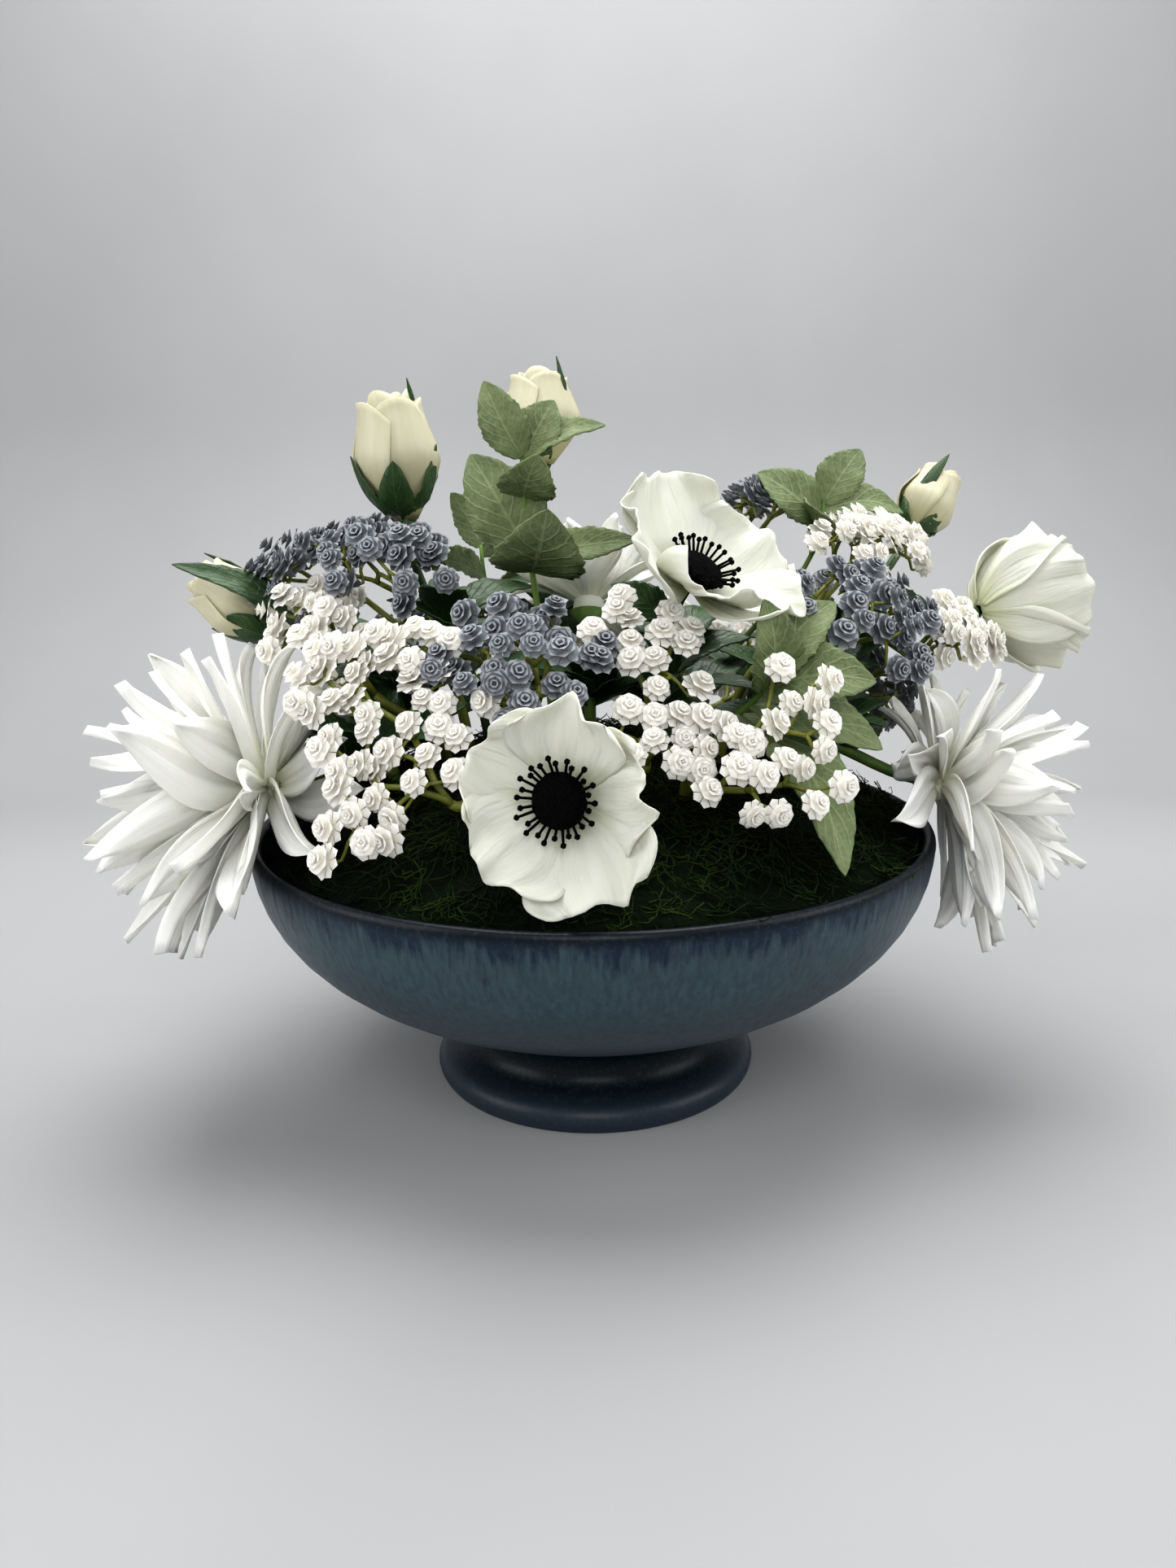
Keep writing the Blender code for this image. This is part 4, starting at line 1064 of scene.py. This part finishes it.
def dahlia_petals(name, base, axis, rings, size):
    """All the petals of a bloom round a small hidden core."""
    rng = random.Random(name)
    base, axis = mm(*base), Vector(axis).normalized()
    level, steep = frame_about(axis)
    shape = bmesh.new()
    shape.loops.layers.uv.new(MAP)
    bmesh.ops.create_icosphere(shape, subdivisions=2, radius=6.5 * MM, matrix=Matrix.Translation(base))
    for number, (polar, count, length, curl) in enumerate(rings):
        for k in range(count):
            turn = math.tau * (k + 0.5 * (number % 2) + rng.uniform(-0.16, 0.16)) / count
            side = level * math.cos(turn) + steep * math.sin(turn)
            lean = polar + rng.uniform(-5, 5)
            strap_petal(shape, base, axis, side, lean, size * length * rng.uniform(0.86, 1.04), curl, rng)
    return piece(name + "_strap_petals", shape, DAHLIA_PETAL, (name + "_bloom",), 0.38)


for name, root, base, axis, rings, size in DAHLIAS:
    keep_clear_of(dahlia_petals(name, base, axis, rings, size))
    aim = Vector(axis).normalized()
    foot = mm(*base)
    route = stem_route(root, foot - aim * 6.5 * MM, aim)
    stalk = tubes([thick(route, 2.3, 2.0)], 2)
    tip = aim.to_track_quat("Z", "Y").to_matrix().to_4x4()
    bmesh.ops.create_cone(stalk, cap_ends=True, segments=16, radius1=2.2 * MM, radius2=7.6 * MM,
                          depth=6.5 * MM, matrix=Matrix.Translation(foot - aim * 5.0 * MM) @ tip)
    piece(name + "_stalk", stalk, PALE_STEM, (name + "_stem",))
    low_leaves(name, route, 0.55 if rings is OPEN_RINGS else 0.22)

# %% [markdown]
# ## Rose buds
#
# A bud is petals wrapped round each other. Each petal is a blade bent round the bud's axis: it
# starts narrow at the cup, swells to a belly, and its rim rolls outwards, more on the outer petals.
# Each petal's one edge lies under its neighbour, because its radius grows slightly along u.

# %% Rose petals
ROSES = (
    ("rose_top_left", (-40, 10), (-68, 15, 212), (-0.10, -0.03, 1.00), 47, 0.355),
    ("rose_left", (-62, 11), (-119, 17, 171), (-0.80, 0.05, 0.55), 38, 0.38),
    ("rose_back", (-14, 50), (-19, 74, 233), (-0.02, 0.10, 1.00), 39, 0.44),
    ("rose_back_right", (62, 34), (134, 66, 202), (0.50, 0.30, 0.80), 33, 0.38),
)
BUD_LAYERS = ((2, 0.40, 0.97, 2.0, 0.00, 0.3), (3, 0.68, 1.00, 1.45, 0.00, 0.8),
              (4, 0.92, 0.94, 1.15, 0.05, 1.4))


def bud_petal(shape, base, axis, turn, wide, tall, span, flare, roll, rng):
    """One wrapped petal whose rim rolls outwards."""
    level, steep = frame_about(axis)
    phase = rng.uniform(0, math.tau)

    def place(u, v):
        angle = turn + u * span * (0.72 + 0.28 * v)
        belly = 0.26 + 0.74 * math.sin(math.pi / 2 * min(1.0, v / 0.60))
        belly -= 0.40 * (max(0.0, v - 0.50) / 0.50) ** 1.3
        middle = 1 - 0.55 * abs(u)
        belly += flare * max(0.0, (v - 0.62) / 0.38) ** 2 * middle * 1.6
        rim = roll * math.exp((v - 1) / 0.07) * middle
        curled = 1.5 * math.exp((abs(u) - 1) / 0.10) * v
        radius = wide * belly + 1.0 * u + rim + curled + 0.35 * math.sin(5 * u + phase) * v
        rise = tall * v * (1 - 0.20 * u * u * v) - rim * 0.8 - 0.5
        outward = level * math.cos(angle) + steep * math.sin(angle)
        return base + (outward * radius + axis * rise) * MM

    blade(shape, 14, 14, place)


def rose_petals(name, base, axis, height, fullness):
    """The layers of a bud, from the tight middle to the loose outside."""
    rng = random.Random(name)
    base, axis = mm(*base), Vector(axis).normalized()
    wide = height * fullness
    shape = bmesh.new()
    for layer, (count, width, tall, span, flare, roll) in enumerate(BUD_LAYERS):
        for k in range(count):
            turn = math.tau * (k + 0.37 * layer) / count + rng.uniform(-0.12, 0.12) + 0.6
            bud_petal(shape, base, axis, turn, wide * width, height * tall, span, flare, roll, rng)
    return piece(name + "_wrapped_petals", shape, ROSE_PETAL, (name + "_bloom",), 0.45)


# %% [markdown]
# Under the bud are a green cup and five sepals that hug it. A sepal is a slim leaf without teeth, so
# the leaf helper makes it too. Most sepals are half as long as the bud, and one is drawn out thin
# and reaches past it.

# %% Rose cups and sepals
SEPALS = 5


def rose_sepals(shape, name, base, axis, height):
    """Five slim sepals round the bud's foot."""
    rng = random.Random(name + "_sepals")
    level, steep = frame_about(axis)
    for k in range(SEPALS):
        turn = math.tau * (k + 0.1) / SEPALS + 0.9
        side = level * math.cos(turn) + steep * math.sin(turn)
        reach, out = (1.05, 0.32) if k == 1 else (rng.uniform(0.40, 0.56), rng.uniform(0.34, 0.40))
        tip = base + (axis * reach * height + side * out * height) * MM
        leaf(shape, base - axis * 1.5 * MM, tip, 6.0 if k == 1 else 13.0, side, teeth=1, fold=-0.3,
             droop=0.14, rows=14, across=4)


for name, root, base, axis, height, fullness in ROSES:
    keep_clear_of(rose_petals(name, base, axis, height, fullness))
    aim = Vector(axis).normalized()
    foot = mm(*base)
    route = stem_route(root, foot - aim * 5.0 * MM, aim)
    stalk = tubes([thick(route, 1.8, 1.8)], 2)
    tip = aim.to_track_quat("Z", "Y").to_matrix().to_4x4()
    bmesh.ops.create_cone(stalk, cap_ends=True, segments=16, radius1=1.9 * MM, radius2=4.6 * MM,
                          depth=5.5 * MM, matrix=Matrix.Translation(foot - aim * 2.6 * MM) @ tip)
    piece(name + "_stalk", stalk, DARK_STEM, (name + "_stem",))
    cup = bmesh.new()
    rose_sepals(cup, name, foot, aim, height)
    piece(name + "_sepals", cup, ROSE_LEAF, (name + "_stem",), 0.5)
    low_leaves(name, route)
    stem_leaves(name, route)

# %% [markdown]
# ## Sage sprigs
#
# The broad grey-green leaves grow on a few thin stems. Each leaf is placed one by one, from its stalk
# end to its tip, with the way its blade faces, because a few large leaves are what the eye compares
# first. Each stalk end is moved onto the nearest part of its own stem.

# %% Sage sprigs
SAGE_SPRIGS = (
    ("sage_sprig_top", (-14, -8), (-22, -20, 232), (
        ((-24, -20, 233), (-34, -22, 257), 16, (0.1, -0.95, 0.2)),
        ((-20, -19, 232), (-11, -17, 251), 17, (-0.2, -0.95, 0.1)),
        ((-19, -20, 231), (6, -22, 243), 12, (-0.3, -0.65, 0.60)),
        ((-23, -23, 219), (-16, -36, 232), 20, (0.0, -0.75, -0.62)),
        ((-26, -18, 198), (-40, -15, 234), 26, (0.2, -0.95, 0.2)),
        ((-20, -24, 192), (-13, -43, 214), 32, (0.0, -0.80, -0.60)),
        ((-10, -20, 199), (17, -20, 205), 14, (-0.2, -0.8, 0.55)),
    )),
    ("sage_sprig_right", (42, -32), (60, -50, 166), (
        ((58, -52, 152), (56, -62, 186), 20, (0.4, -0.90, 0.1)),
        ((61, -49, 158), (82, -40, 184), 22, (-0.5, -0.8, 0.3)),
        ((60, -52, 152), (92, -60, 160), 24, (-0.1, -0.8, 0.6)),
        ((57, -50, 142), (96, -58, 138), 24, (0.2, -0.6, 0.75)),
        ((54, -48, 136), (78, -94, 107), 25, (0.3, -0.6, 0.7)),
    )),
    ("sage_sprig_back_right", (44, 26), (94, 44, 216), (
        ((94, 44, 215), (108, 46, 236), 19, (-0.3, -0.9, 0.3)),
        ((94, 46, 212), (128, 52, 212), 19, (0.0, -0.6, 0.7)),
        ((90, 42, 208), (68, 44, 228), 22, (0.2, -0.8, 0.5)),
        ((86, 42, 200), (84, 22, 216), 20, (0.1, -0.6, 0.8)),
    )),
    ("sage_sprig_back_left", (-28, 64), (-46, 80, 200), (
        ((-47, 80, 199), (-58, 84, 222), 17, (0.3, 0.9, 0.2)),
        ((-45, 81, 196), (-28, 90, 210), 16, (-0.2, 0.9, 0.4)),
        ((-44, 78, 186), (-68, 82, 196), 20, (0.2, 0.6, 0.75)),
        ((-42, 78, 178), (-20, 98, 182), 20, (-0.2, 0.6, 0.75)),
    )),
)

for name, root, top, leaves in SAGE_SPRIGS:
    route = stem_route(root, mm(*top), Vector((0, 0, 1)))
    shape = bmesh.new()
    for base, tip, width, facing in leaves:
        leaf(shape, closest_on(route, mm(*base)), mm(*tip), width, facing)
    piece(name + "_leaves", shape, SAGE_LEAF, (name,), 0.5)
    piece(name + "_twig", tubes([thick(route, 1.3, 0.9)], 1), PALE_STEM, (name,))

# %% [markdown]
# ## Sprays of rosettes
#
# The small flowers are gypsophila: hundreds of tiny rosettes with tiers of rounded petals. There are
# so many that one rosette has to be cheap. Its petal is a cone with three sides pressed flat, point
# inwards, and sheared so that its keel runs out past the shoulders to a blunt tip. That has only four
# faces and still looks like a thick petal. Spin copies it round in tiers, each steeper than the one
# below, and the whole pattern is then copied to every head.

# %% One rosette
TIERS = ((8, 5.8, 0.0, 6), (6, 4.9, 1.3, 27), (5, 3.9, 2.4, 46), (4, 2.7, 3.0, 66))
ROSETTE_THICKNESS = 0.42
SHOULDER = 0.84


def rosette_petal(shape, reach, count, height, tilt, turn):
    """A flat three-sided cone, point inwards, whose keel is drawn out to a tip."""
    half = 0.76 * math.pi * reach / count
    made = bmesh.ops.create_cone(shape, cap_ends=True, segments=3, radius1=1.0, radius2=0.0, depth=1.0)["verts"]
    layer = shape.loops.layers.uv.get(MAP) or shape.loops.layers.uv.new(MAP)
    for vert in made:
        way = 0.0 if vert.co.z > 0 else 1.0 if vert.co.y > 0.5 else SHOULDER
        for loop in vert.link_loops:
            loop[layer].uv = (0.5, way)
    size = Matrix.Diagonal((ROSETTE_THICKNESS * MM, half / 0.866 * MM, SHOULDER * reach * MM, 1))
    drawn = Matrix.Shear("XY", 4, (-(1 - SHOULDER) * reach / (1.5 * ROSETTE_THICKNESS), 0))
    place = (Matrix.Rotation(turn, 4, "Z") @ Matrix.Translation((0, 0, height * MM))
             @ Matrix.Rotation(-math.radians(tilt), 4, "Y") @ drawn
             @ Matrix.Translation((SHOULDER * reach / 2 * MM, 0, 0)) @ Matrix.Rotation(-math.pi / 2, 4, "Y"))
    bmesh.ops.transform(shape, matrix=place @ size @ Matrix.Rotation(math.pi / 2, 4, "Z"), verts=made)
    return made


def rosette():
    """Tiers of petals round a tiny bud, on a little cup, facing up."""
    shape = bmesh.new()
    for number, (count, reach, height, tilt) in enumerate(TIERS):
        made = rosette_petal(shape, reach, count, height, tilt, 0.35 * number)
        geometry = made + list({edge for vert in made for edge in vert.link_edges})
        geometry += list({face for vert in made for face in vert.link_faces})
        bmesh.ops.spin(shape, geom=geometry, cent=(0, 0, 0), axis=(0, 0, 1), steps=count - 1,
                       angle=math.tau * (count - 1) / count, use_duplicate=True)
    bmesh.ops.create_cone(shape, cap_ends=True, segments=3, radius1=0.9 * MM, radius2=0.0,
                          depth=1.8 * MM, matrix=Matrix.Translation((0, 0, 4.9 * MM)))
    bmesh.ops.create_cone(shape, cap_ends=True, segments=4, radius1=0.8 * MM, radius2=2.4 * MM,
                          depth=3.2 * MM, matrix=Matrix.Translation((0, 0, -1.3 * MM)))
    mesh = bpy.data.meshes.new("rosette")
    shape.to_mesh(mesh)
    shape.free()
    return mesh


ROSETTE = rosette()
print("faces in one rosette:", len(ROSETTE.polygons))


def stamp(shape, pattern, place):
    """Copy a pattern into a mesh, moved into place."""
    start = len(shape.verts)
    shape.from_mesh(pattern)
    shape.verts.ensure_lookup_table()
    bmesh.ops.transform(shape, matrix=place, verts=shape.verts[start:])


# %% [markdown]
# White rosettes are a warm white. Both kinds are darker at the root, painted shade between the
# petals. Blue ones are dusty slate with paler edges. Both come from one finish that goes from root
# to tip along the petal's map.

# %% Rosette finishes


def rosette_finish(name, root, middle, edge, edge_start, shade, glow):
    """A petal colour from a root darkened as painted shade to its edge, with a little grain."""
    material, tree, shader, spot = finish_of(name, 0.6, Subsurface_Weight=glow, Subsurface_Scale=0.002)
    shader.inputs["Subsurface Radius"].default_value = (1.0, 0.95, 0.85)
    chart = add(tree, "UVMap", uv_map=MAP).outputs["UV"]
    along = add(tree, "SeparateXYZ", {0: chart}).outputs["Y"]
    grain = use(tree, SPECKLE, {"Vector": spot, "Scale": 420.0, "Contrast": 0.2})["Mask"]
    cloud = use(tree, SPECKLE, {"Vector": spot, "Scale": 70.0, "Contrast": 0.2})["Mask"]
    # The darker root colour is painted shade between the tiers of petals.
    tone = blend(tree, ramp(tree, along, 0.25, 0.75), root, middle)
    tone = blend(tree, ramp(tree, along, edge_start, 1.0), tone, edge)
    tone = blend(tree, maths(tree, "MULTIPLY", grain, 0.22), tone, shade)
    tone = blend(tree, maths(tree, "MULTIPLY", cloud, 0.22), tone, shade)
    tree.links.new(tone, shader.inputs["Base Color"])
    bumped(tree, shader, grain, 0.25, 0.0005)
    return material


ROSETTE_FINISH = {
    # The first colour of each is the root, darkened as painted shade.
    "white_spray": rosette_finish("white_rosette", (0.88, 0.85, 0.76, 1), (0.95, 0.93, 0.87, 1),
                                  (0.97, 0.96, 0.92, 1), 0.80, (0.92, 0.89, 0.82, 1), 0.35),
    "blue_spray": rosette_finish("blue_rosette", (0.060, 0.068, 0.078, 1), (0.170, 0.186, 0.208, 1),
                                 (0.440, 0.460, 0.485, 1), 0.78, (0.215, 0.232, 0.255, 1), 0.10),
}
print("rosette finishes:", len(ROSETTE_FINISH))

# %% [markdown]
# A spray branches like a tree. The heads are parted again and again into halves, each half gets a
# joint part of the way to its middle, and a twig runs to each joint until one head is left. That
# gives forks of the right kind at every scale without placing a single twig by hand.

# %% Branching
GOLDEN_TURN = math.pi * (3.0 - math.sqrt(5.0))
HEAD_ROOM = 6.0
LOOKING_FROM = 0.045


def halves(heads):
    """Part a list of (place, facing) across its widest direction."""
    middle = sum((head[0] for head in heads), Vector()) / len(heads)
    directions = (Vector((1, 0, 0)), Vector((0, 1, 0)), Vector((0, 0, 1)), Vector((0.7, 0.7, 0)),
                  Vector((0.7, -0.7, 0)))
    widest = max(directions, key=lambda way: sum((head[0] - middle).dot(way) ** 2 for head in heads))
    ranked = sorted(heads, key=lambda head: head[0].dot(widest))
    return ranked[:len(ranked) // 2], ranked[len(ranked) // 2:]


def branch(start, way, heads, radius, routes):
    """Twigs from a joint to its heads, through smaller joints."""
    if len(heads) == 1:
        place, facing = heads[0]
        neck = place - facing * 3.0 * MM
        hold = (neck - start).length * 0.4
        line = interpolate_bezier(start, start + way * hold, neck - facing * hold, neck, 5)
        routes.append(thick(line, radius, radius * 0.85))
        return
    for group in halves(heads):
        middle = sum((head[0] for head in group), Vector()) / len(group)
        if len(group) == 1:
            branch(start, (middle - start).normalized(), group, max(radius * 0.85, 0.62), routes)
            continue
        joint = start.lerp(middle, 0.50 if len(group) > 4 else 0.58)
        aim = (joint - start).normalized()
        hold = (joint - start).length * 0.35
        line = interpolate_bezier(start, start + way * hold, joint - aim * hold, joint, 4)
        thin = max(radius * 0.86, 0.62)
        routes.append(thick(line, radius, thin))
        branch(joint, aim, group, thin, routes)


def dome_heads(centre, axis, reach, count, rng):
    """Places on a spray's dome in a sunflower spiral, a little uneven."""
    side, lean = frame_about(axis)
    places = []
    for index in range(count):
        share = (index + 0.5) / count
        turn = index * GOLDEN_TURN + rng.uniform(-0.35, 0.35)
        across = side * math.cos(turn) * math.sqrt(share) * reach[0]
        down = lean * math.sin(turn) * math.sqrt(share) * reach[1]
        rise = axis * (math.sqrt(1 - 0.9 * share) * reach[2] + rng.uniform(-6.0, 4.0))
        places.append((across + down + rise) * MM + centre)
    return places


def spray(name, kind, root, fork, centre, axis, reach, count, placed=()):
    """A spray: its twigs and its heads, either spread on a dome or given one by one."""
    rng = random.Random(name)
    fork, centre, axis = mm(*fork), mm(*centre), Vector(axis).normalized()
    spots = [mm(*entry) for entry in placed] + dome_heads(centre, axis, reach, count, rng)
    heads = []
    for spot in spots:
        spot = pushed_clear(spot, HEAD_ROOM)
        reach_out = math.hypot(spot.x, spot.y) / MM
        low = moss_height(min(reach_out, MOSS_RADIUS), 0) + 7
        if spot.z / MM < low and reach_out < BOWL_RADIUS + 4:
            spot.z = low * MM
        outward = Vector((spot.x * 0.6, spot.y - LOOKING_FROM, 0.0)).normalized() * 0.7
        facing = ((spot - fork).normalized() * 0.4 + axis * 0.5 + outward).normalized()
        facing = (facing + Vector([rng.uniform(-0.35, 0.35) for k in range(3)])).normalized()
        heads.append((spot, facing))
    trunk = stem_route(root, fork, (centre - fork).normalized(), 8)
    routes = [thick(trunk, 2.3, 1.7)]
    branch(fork, (centre - fork).normalized(), heads, 1.3, routes)
    shape = bmesh.new()
    for spot, facing in heads:
        size = rng.uniform(0.84, 1.14)
        turn = facing.to_track_quat("Z", "Y").to_matrix().to_4x4()
        spun = Matrix.Rotation(rng.uniform(0, math.tau), 4, "Z")
        stamp(shape, ROSETTE, Matrix.Translation(spot) @ turn @ spun @ Matrix.Scale(size, 4))
    piece(name + "_rosettes", shape, ROSETTE_FINISH[kind], (name,), smooth=False)
    piece(name + "_twigs", tubes(routes, 1), OLIVE_STEM, (name,))


# %% [markdown]
# The three white sprays at the front are what the eye rests on, so their heads are placed one by one.
# All other sprays use the dome. Each entry gives where the stem leaves the moss, the fork, the
# dome's middle, its axis, its half sizes and its heads.

# %% All the sprays
FRONT_LEFT_HEADS = (
    (-91, -66, 164), (-83, -65, 166), (-73, -66, 165), (-69, -64, 168), (-63, -64, 169), (-67, -59, 177),
    (-61, -60, 175), (-55, -58, 178), (-50, -59, 176), (-44, -61, 174), (-56, -68, 162), (-47, -66, 165),
    (-46, -72, 156), (-56, -75, 150), (-41, -77, 146), (-80, -71, 157), (-86, -72, 154), (-91, -71, 157),
    (-69, -73, 153), (-69, -76, 148), (-80, -77, 147), (-83, -79, 143), (-76, -83, 137), (-77, -86, 132),
    (-70, -81, 139), (-54, -85, 134), (-41, -83, 136), (-72, -90, 126), (-65, -87, 130), (-60, -90, 125),
    (-61, -94, 119), (-68, -95, 118), (-79, -92, 122), (-80, -97, 113), (-74, -61, 173), (-81, -61, 173),
    (-87, -62, 172), (-47, -75, 149), (-52, -71, 157), (-74, -71, 158), (-62, -78, 142), (-56, -66, 169),
    (-66, -80, 137), (-50, -80, 141),
)
CENTRE_HEADS = (
    (11, -48, 186), (9, -51, 182), (1, -55, 176), (14, -53, 179), (27, -51, 182), (13, -57, 172),
    (23, -55, 175), (32, -55, 175), (31, -57, 172), (21, -60, 167), (14, -61, 167), (21, -66, 159),
    (34, -66, 159), (12, -70, 153), (27, -71, 151), (20, -72, 151), (34, -72, 150), (20, -76, 144),
    (13, -79, 140), (29, -75, 145), (35, -78, 142), (41, -73, 148), (27, -80, 138), (34, -81, 136),
    (35, -86, 130), (-32, -72, 157),
)
RIGHT_HEADS = (
    (45, -79, 146), (49, -80, 144), (45, -85, 137), (52, -87, 135), (56, -77, 149), (62, -73, 155),
    (69, -73, 155), (60, -66, 165), (74, -68, 161), (73, -77, 149), (71, -82, 142), (64, -85, 137),
    (59, -84, 139), (48, -93, 125), (56, -93, 125), (67, -92, 127), (76, -89, 132),
)
SPRAYS = (
    ("white_spray_front_left", "white_spray", (-36, -68), (-44, -80, 126),
     (-62, -84, 146), (-0.40, -0.50, 0.76), (33, 31, 17), 0, FRONT_LEFT_HEADS),
    ("white_spray_centre", "white_spray", (16, -44), (18, -62, 134),
     (19, -66, 160), (0.00, -0.40, 0.92), (24, 20, 18), 0, CENTRE_HEADS),
    ("white_spray_right", "white_spray", (32, -54), (38, -72, 126),
     (54, -84, 142), (0.35, -0.60, 0.72), (26, 22, 14), 0, RIGHT_HEADS),
    ("blue_spray_centre", "blue_spray", (-16, -36), (-20, -48, 140),
     (-24, -52, 158), (-0.05, -0.50, 0.86), (32, 26, 22), 34),
    ("blue_spray_right", "blue_spray", (48, -14), (74, -18, 154),
     (92, -20, 168), (0.25, -0.50, 0.83), (32, 28, 20), 38),
    ("white_spray_left", "white_spray", (-54, -10), (-78, -12, 150),
     (-94, -14, 170), (-0.20, -0.50, 0.84), (22, 20, 16), 24),
    ("blue_spray_left", "blue_spray", (-46, -2), (-66, 2, 170),
     (-84, 2, 183), (-0.15, -0.35, 0.92), (42, 27, 25), 60),
    ("white_spray_back_right", "white_spray", (54, 20), (86, 24, 174),
     (106, 28, 192), (0.25, -0.25, 0.93), (28, 22, 16), 34),
    ("white_spray_far_right", "white_spray", (72, 20), (108, 14, 150),
     (134, -2, 166), (0.30, -0.60, 0.74), (15, 15, 9), 22),
    ("blue_spray_back_right", "blue_spray", (34, 38), (56, 54, 186),
     (74, 60, 210), (0.10, -0.10, 0.98), (24, 18, 12), 26),
    ("blue_spray_back_left", "blue_spray", (-32, 44), (-50, 58, 144),
     (-62, 70, 160), (-0.40, 0.35, 0.85), (30, 22, 16), 32),
    ("white_spray_back_low_right", "white_spray", (40, 56), (58, 76, 130),
     (74, 90, 140), (0.50, 0.70, 0.50), (34, 28, 15), 40),
    ("white_spray_back_centre", "white_spray", (-4, 64), (-10, 84, 136),
     (-22, 96, 148), (-0.20, 0.75, 0.62), (34, 30, 16), 42),
    ("white_spray_back_low_left", "white_spray", (-62, 32), (-84, 44, 124),
     (-96, 62, 134), (-0.65, 0.60, 0.48), (34, 26, 13), 38),
    ("blue_spray_back_low_right", "blue_spray", (66, 48), (90, 42, 130),
     (110, 50, 140), (0.70, 0.45, 0.55), (30, 26, 13), 34),
)
for entry in SPRAYS:
    spray(*entry)
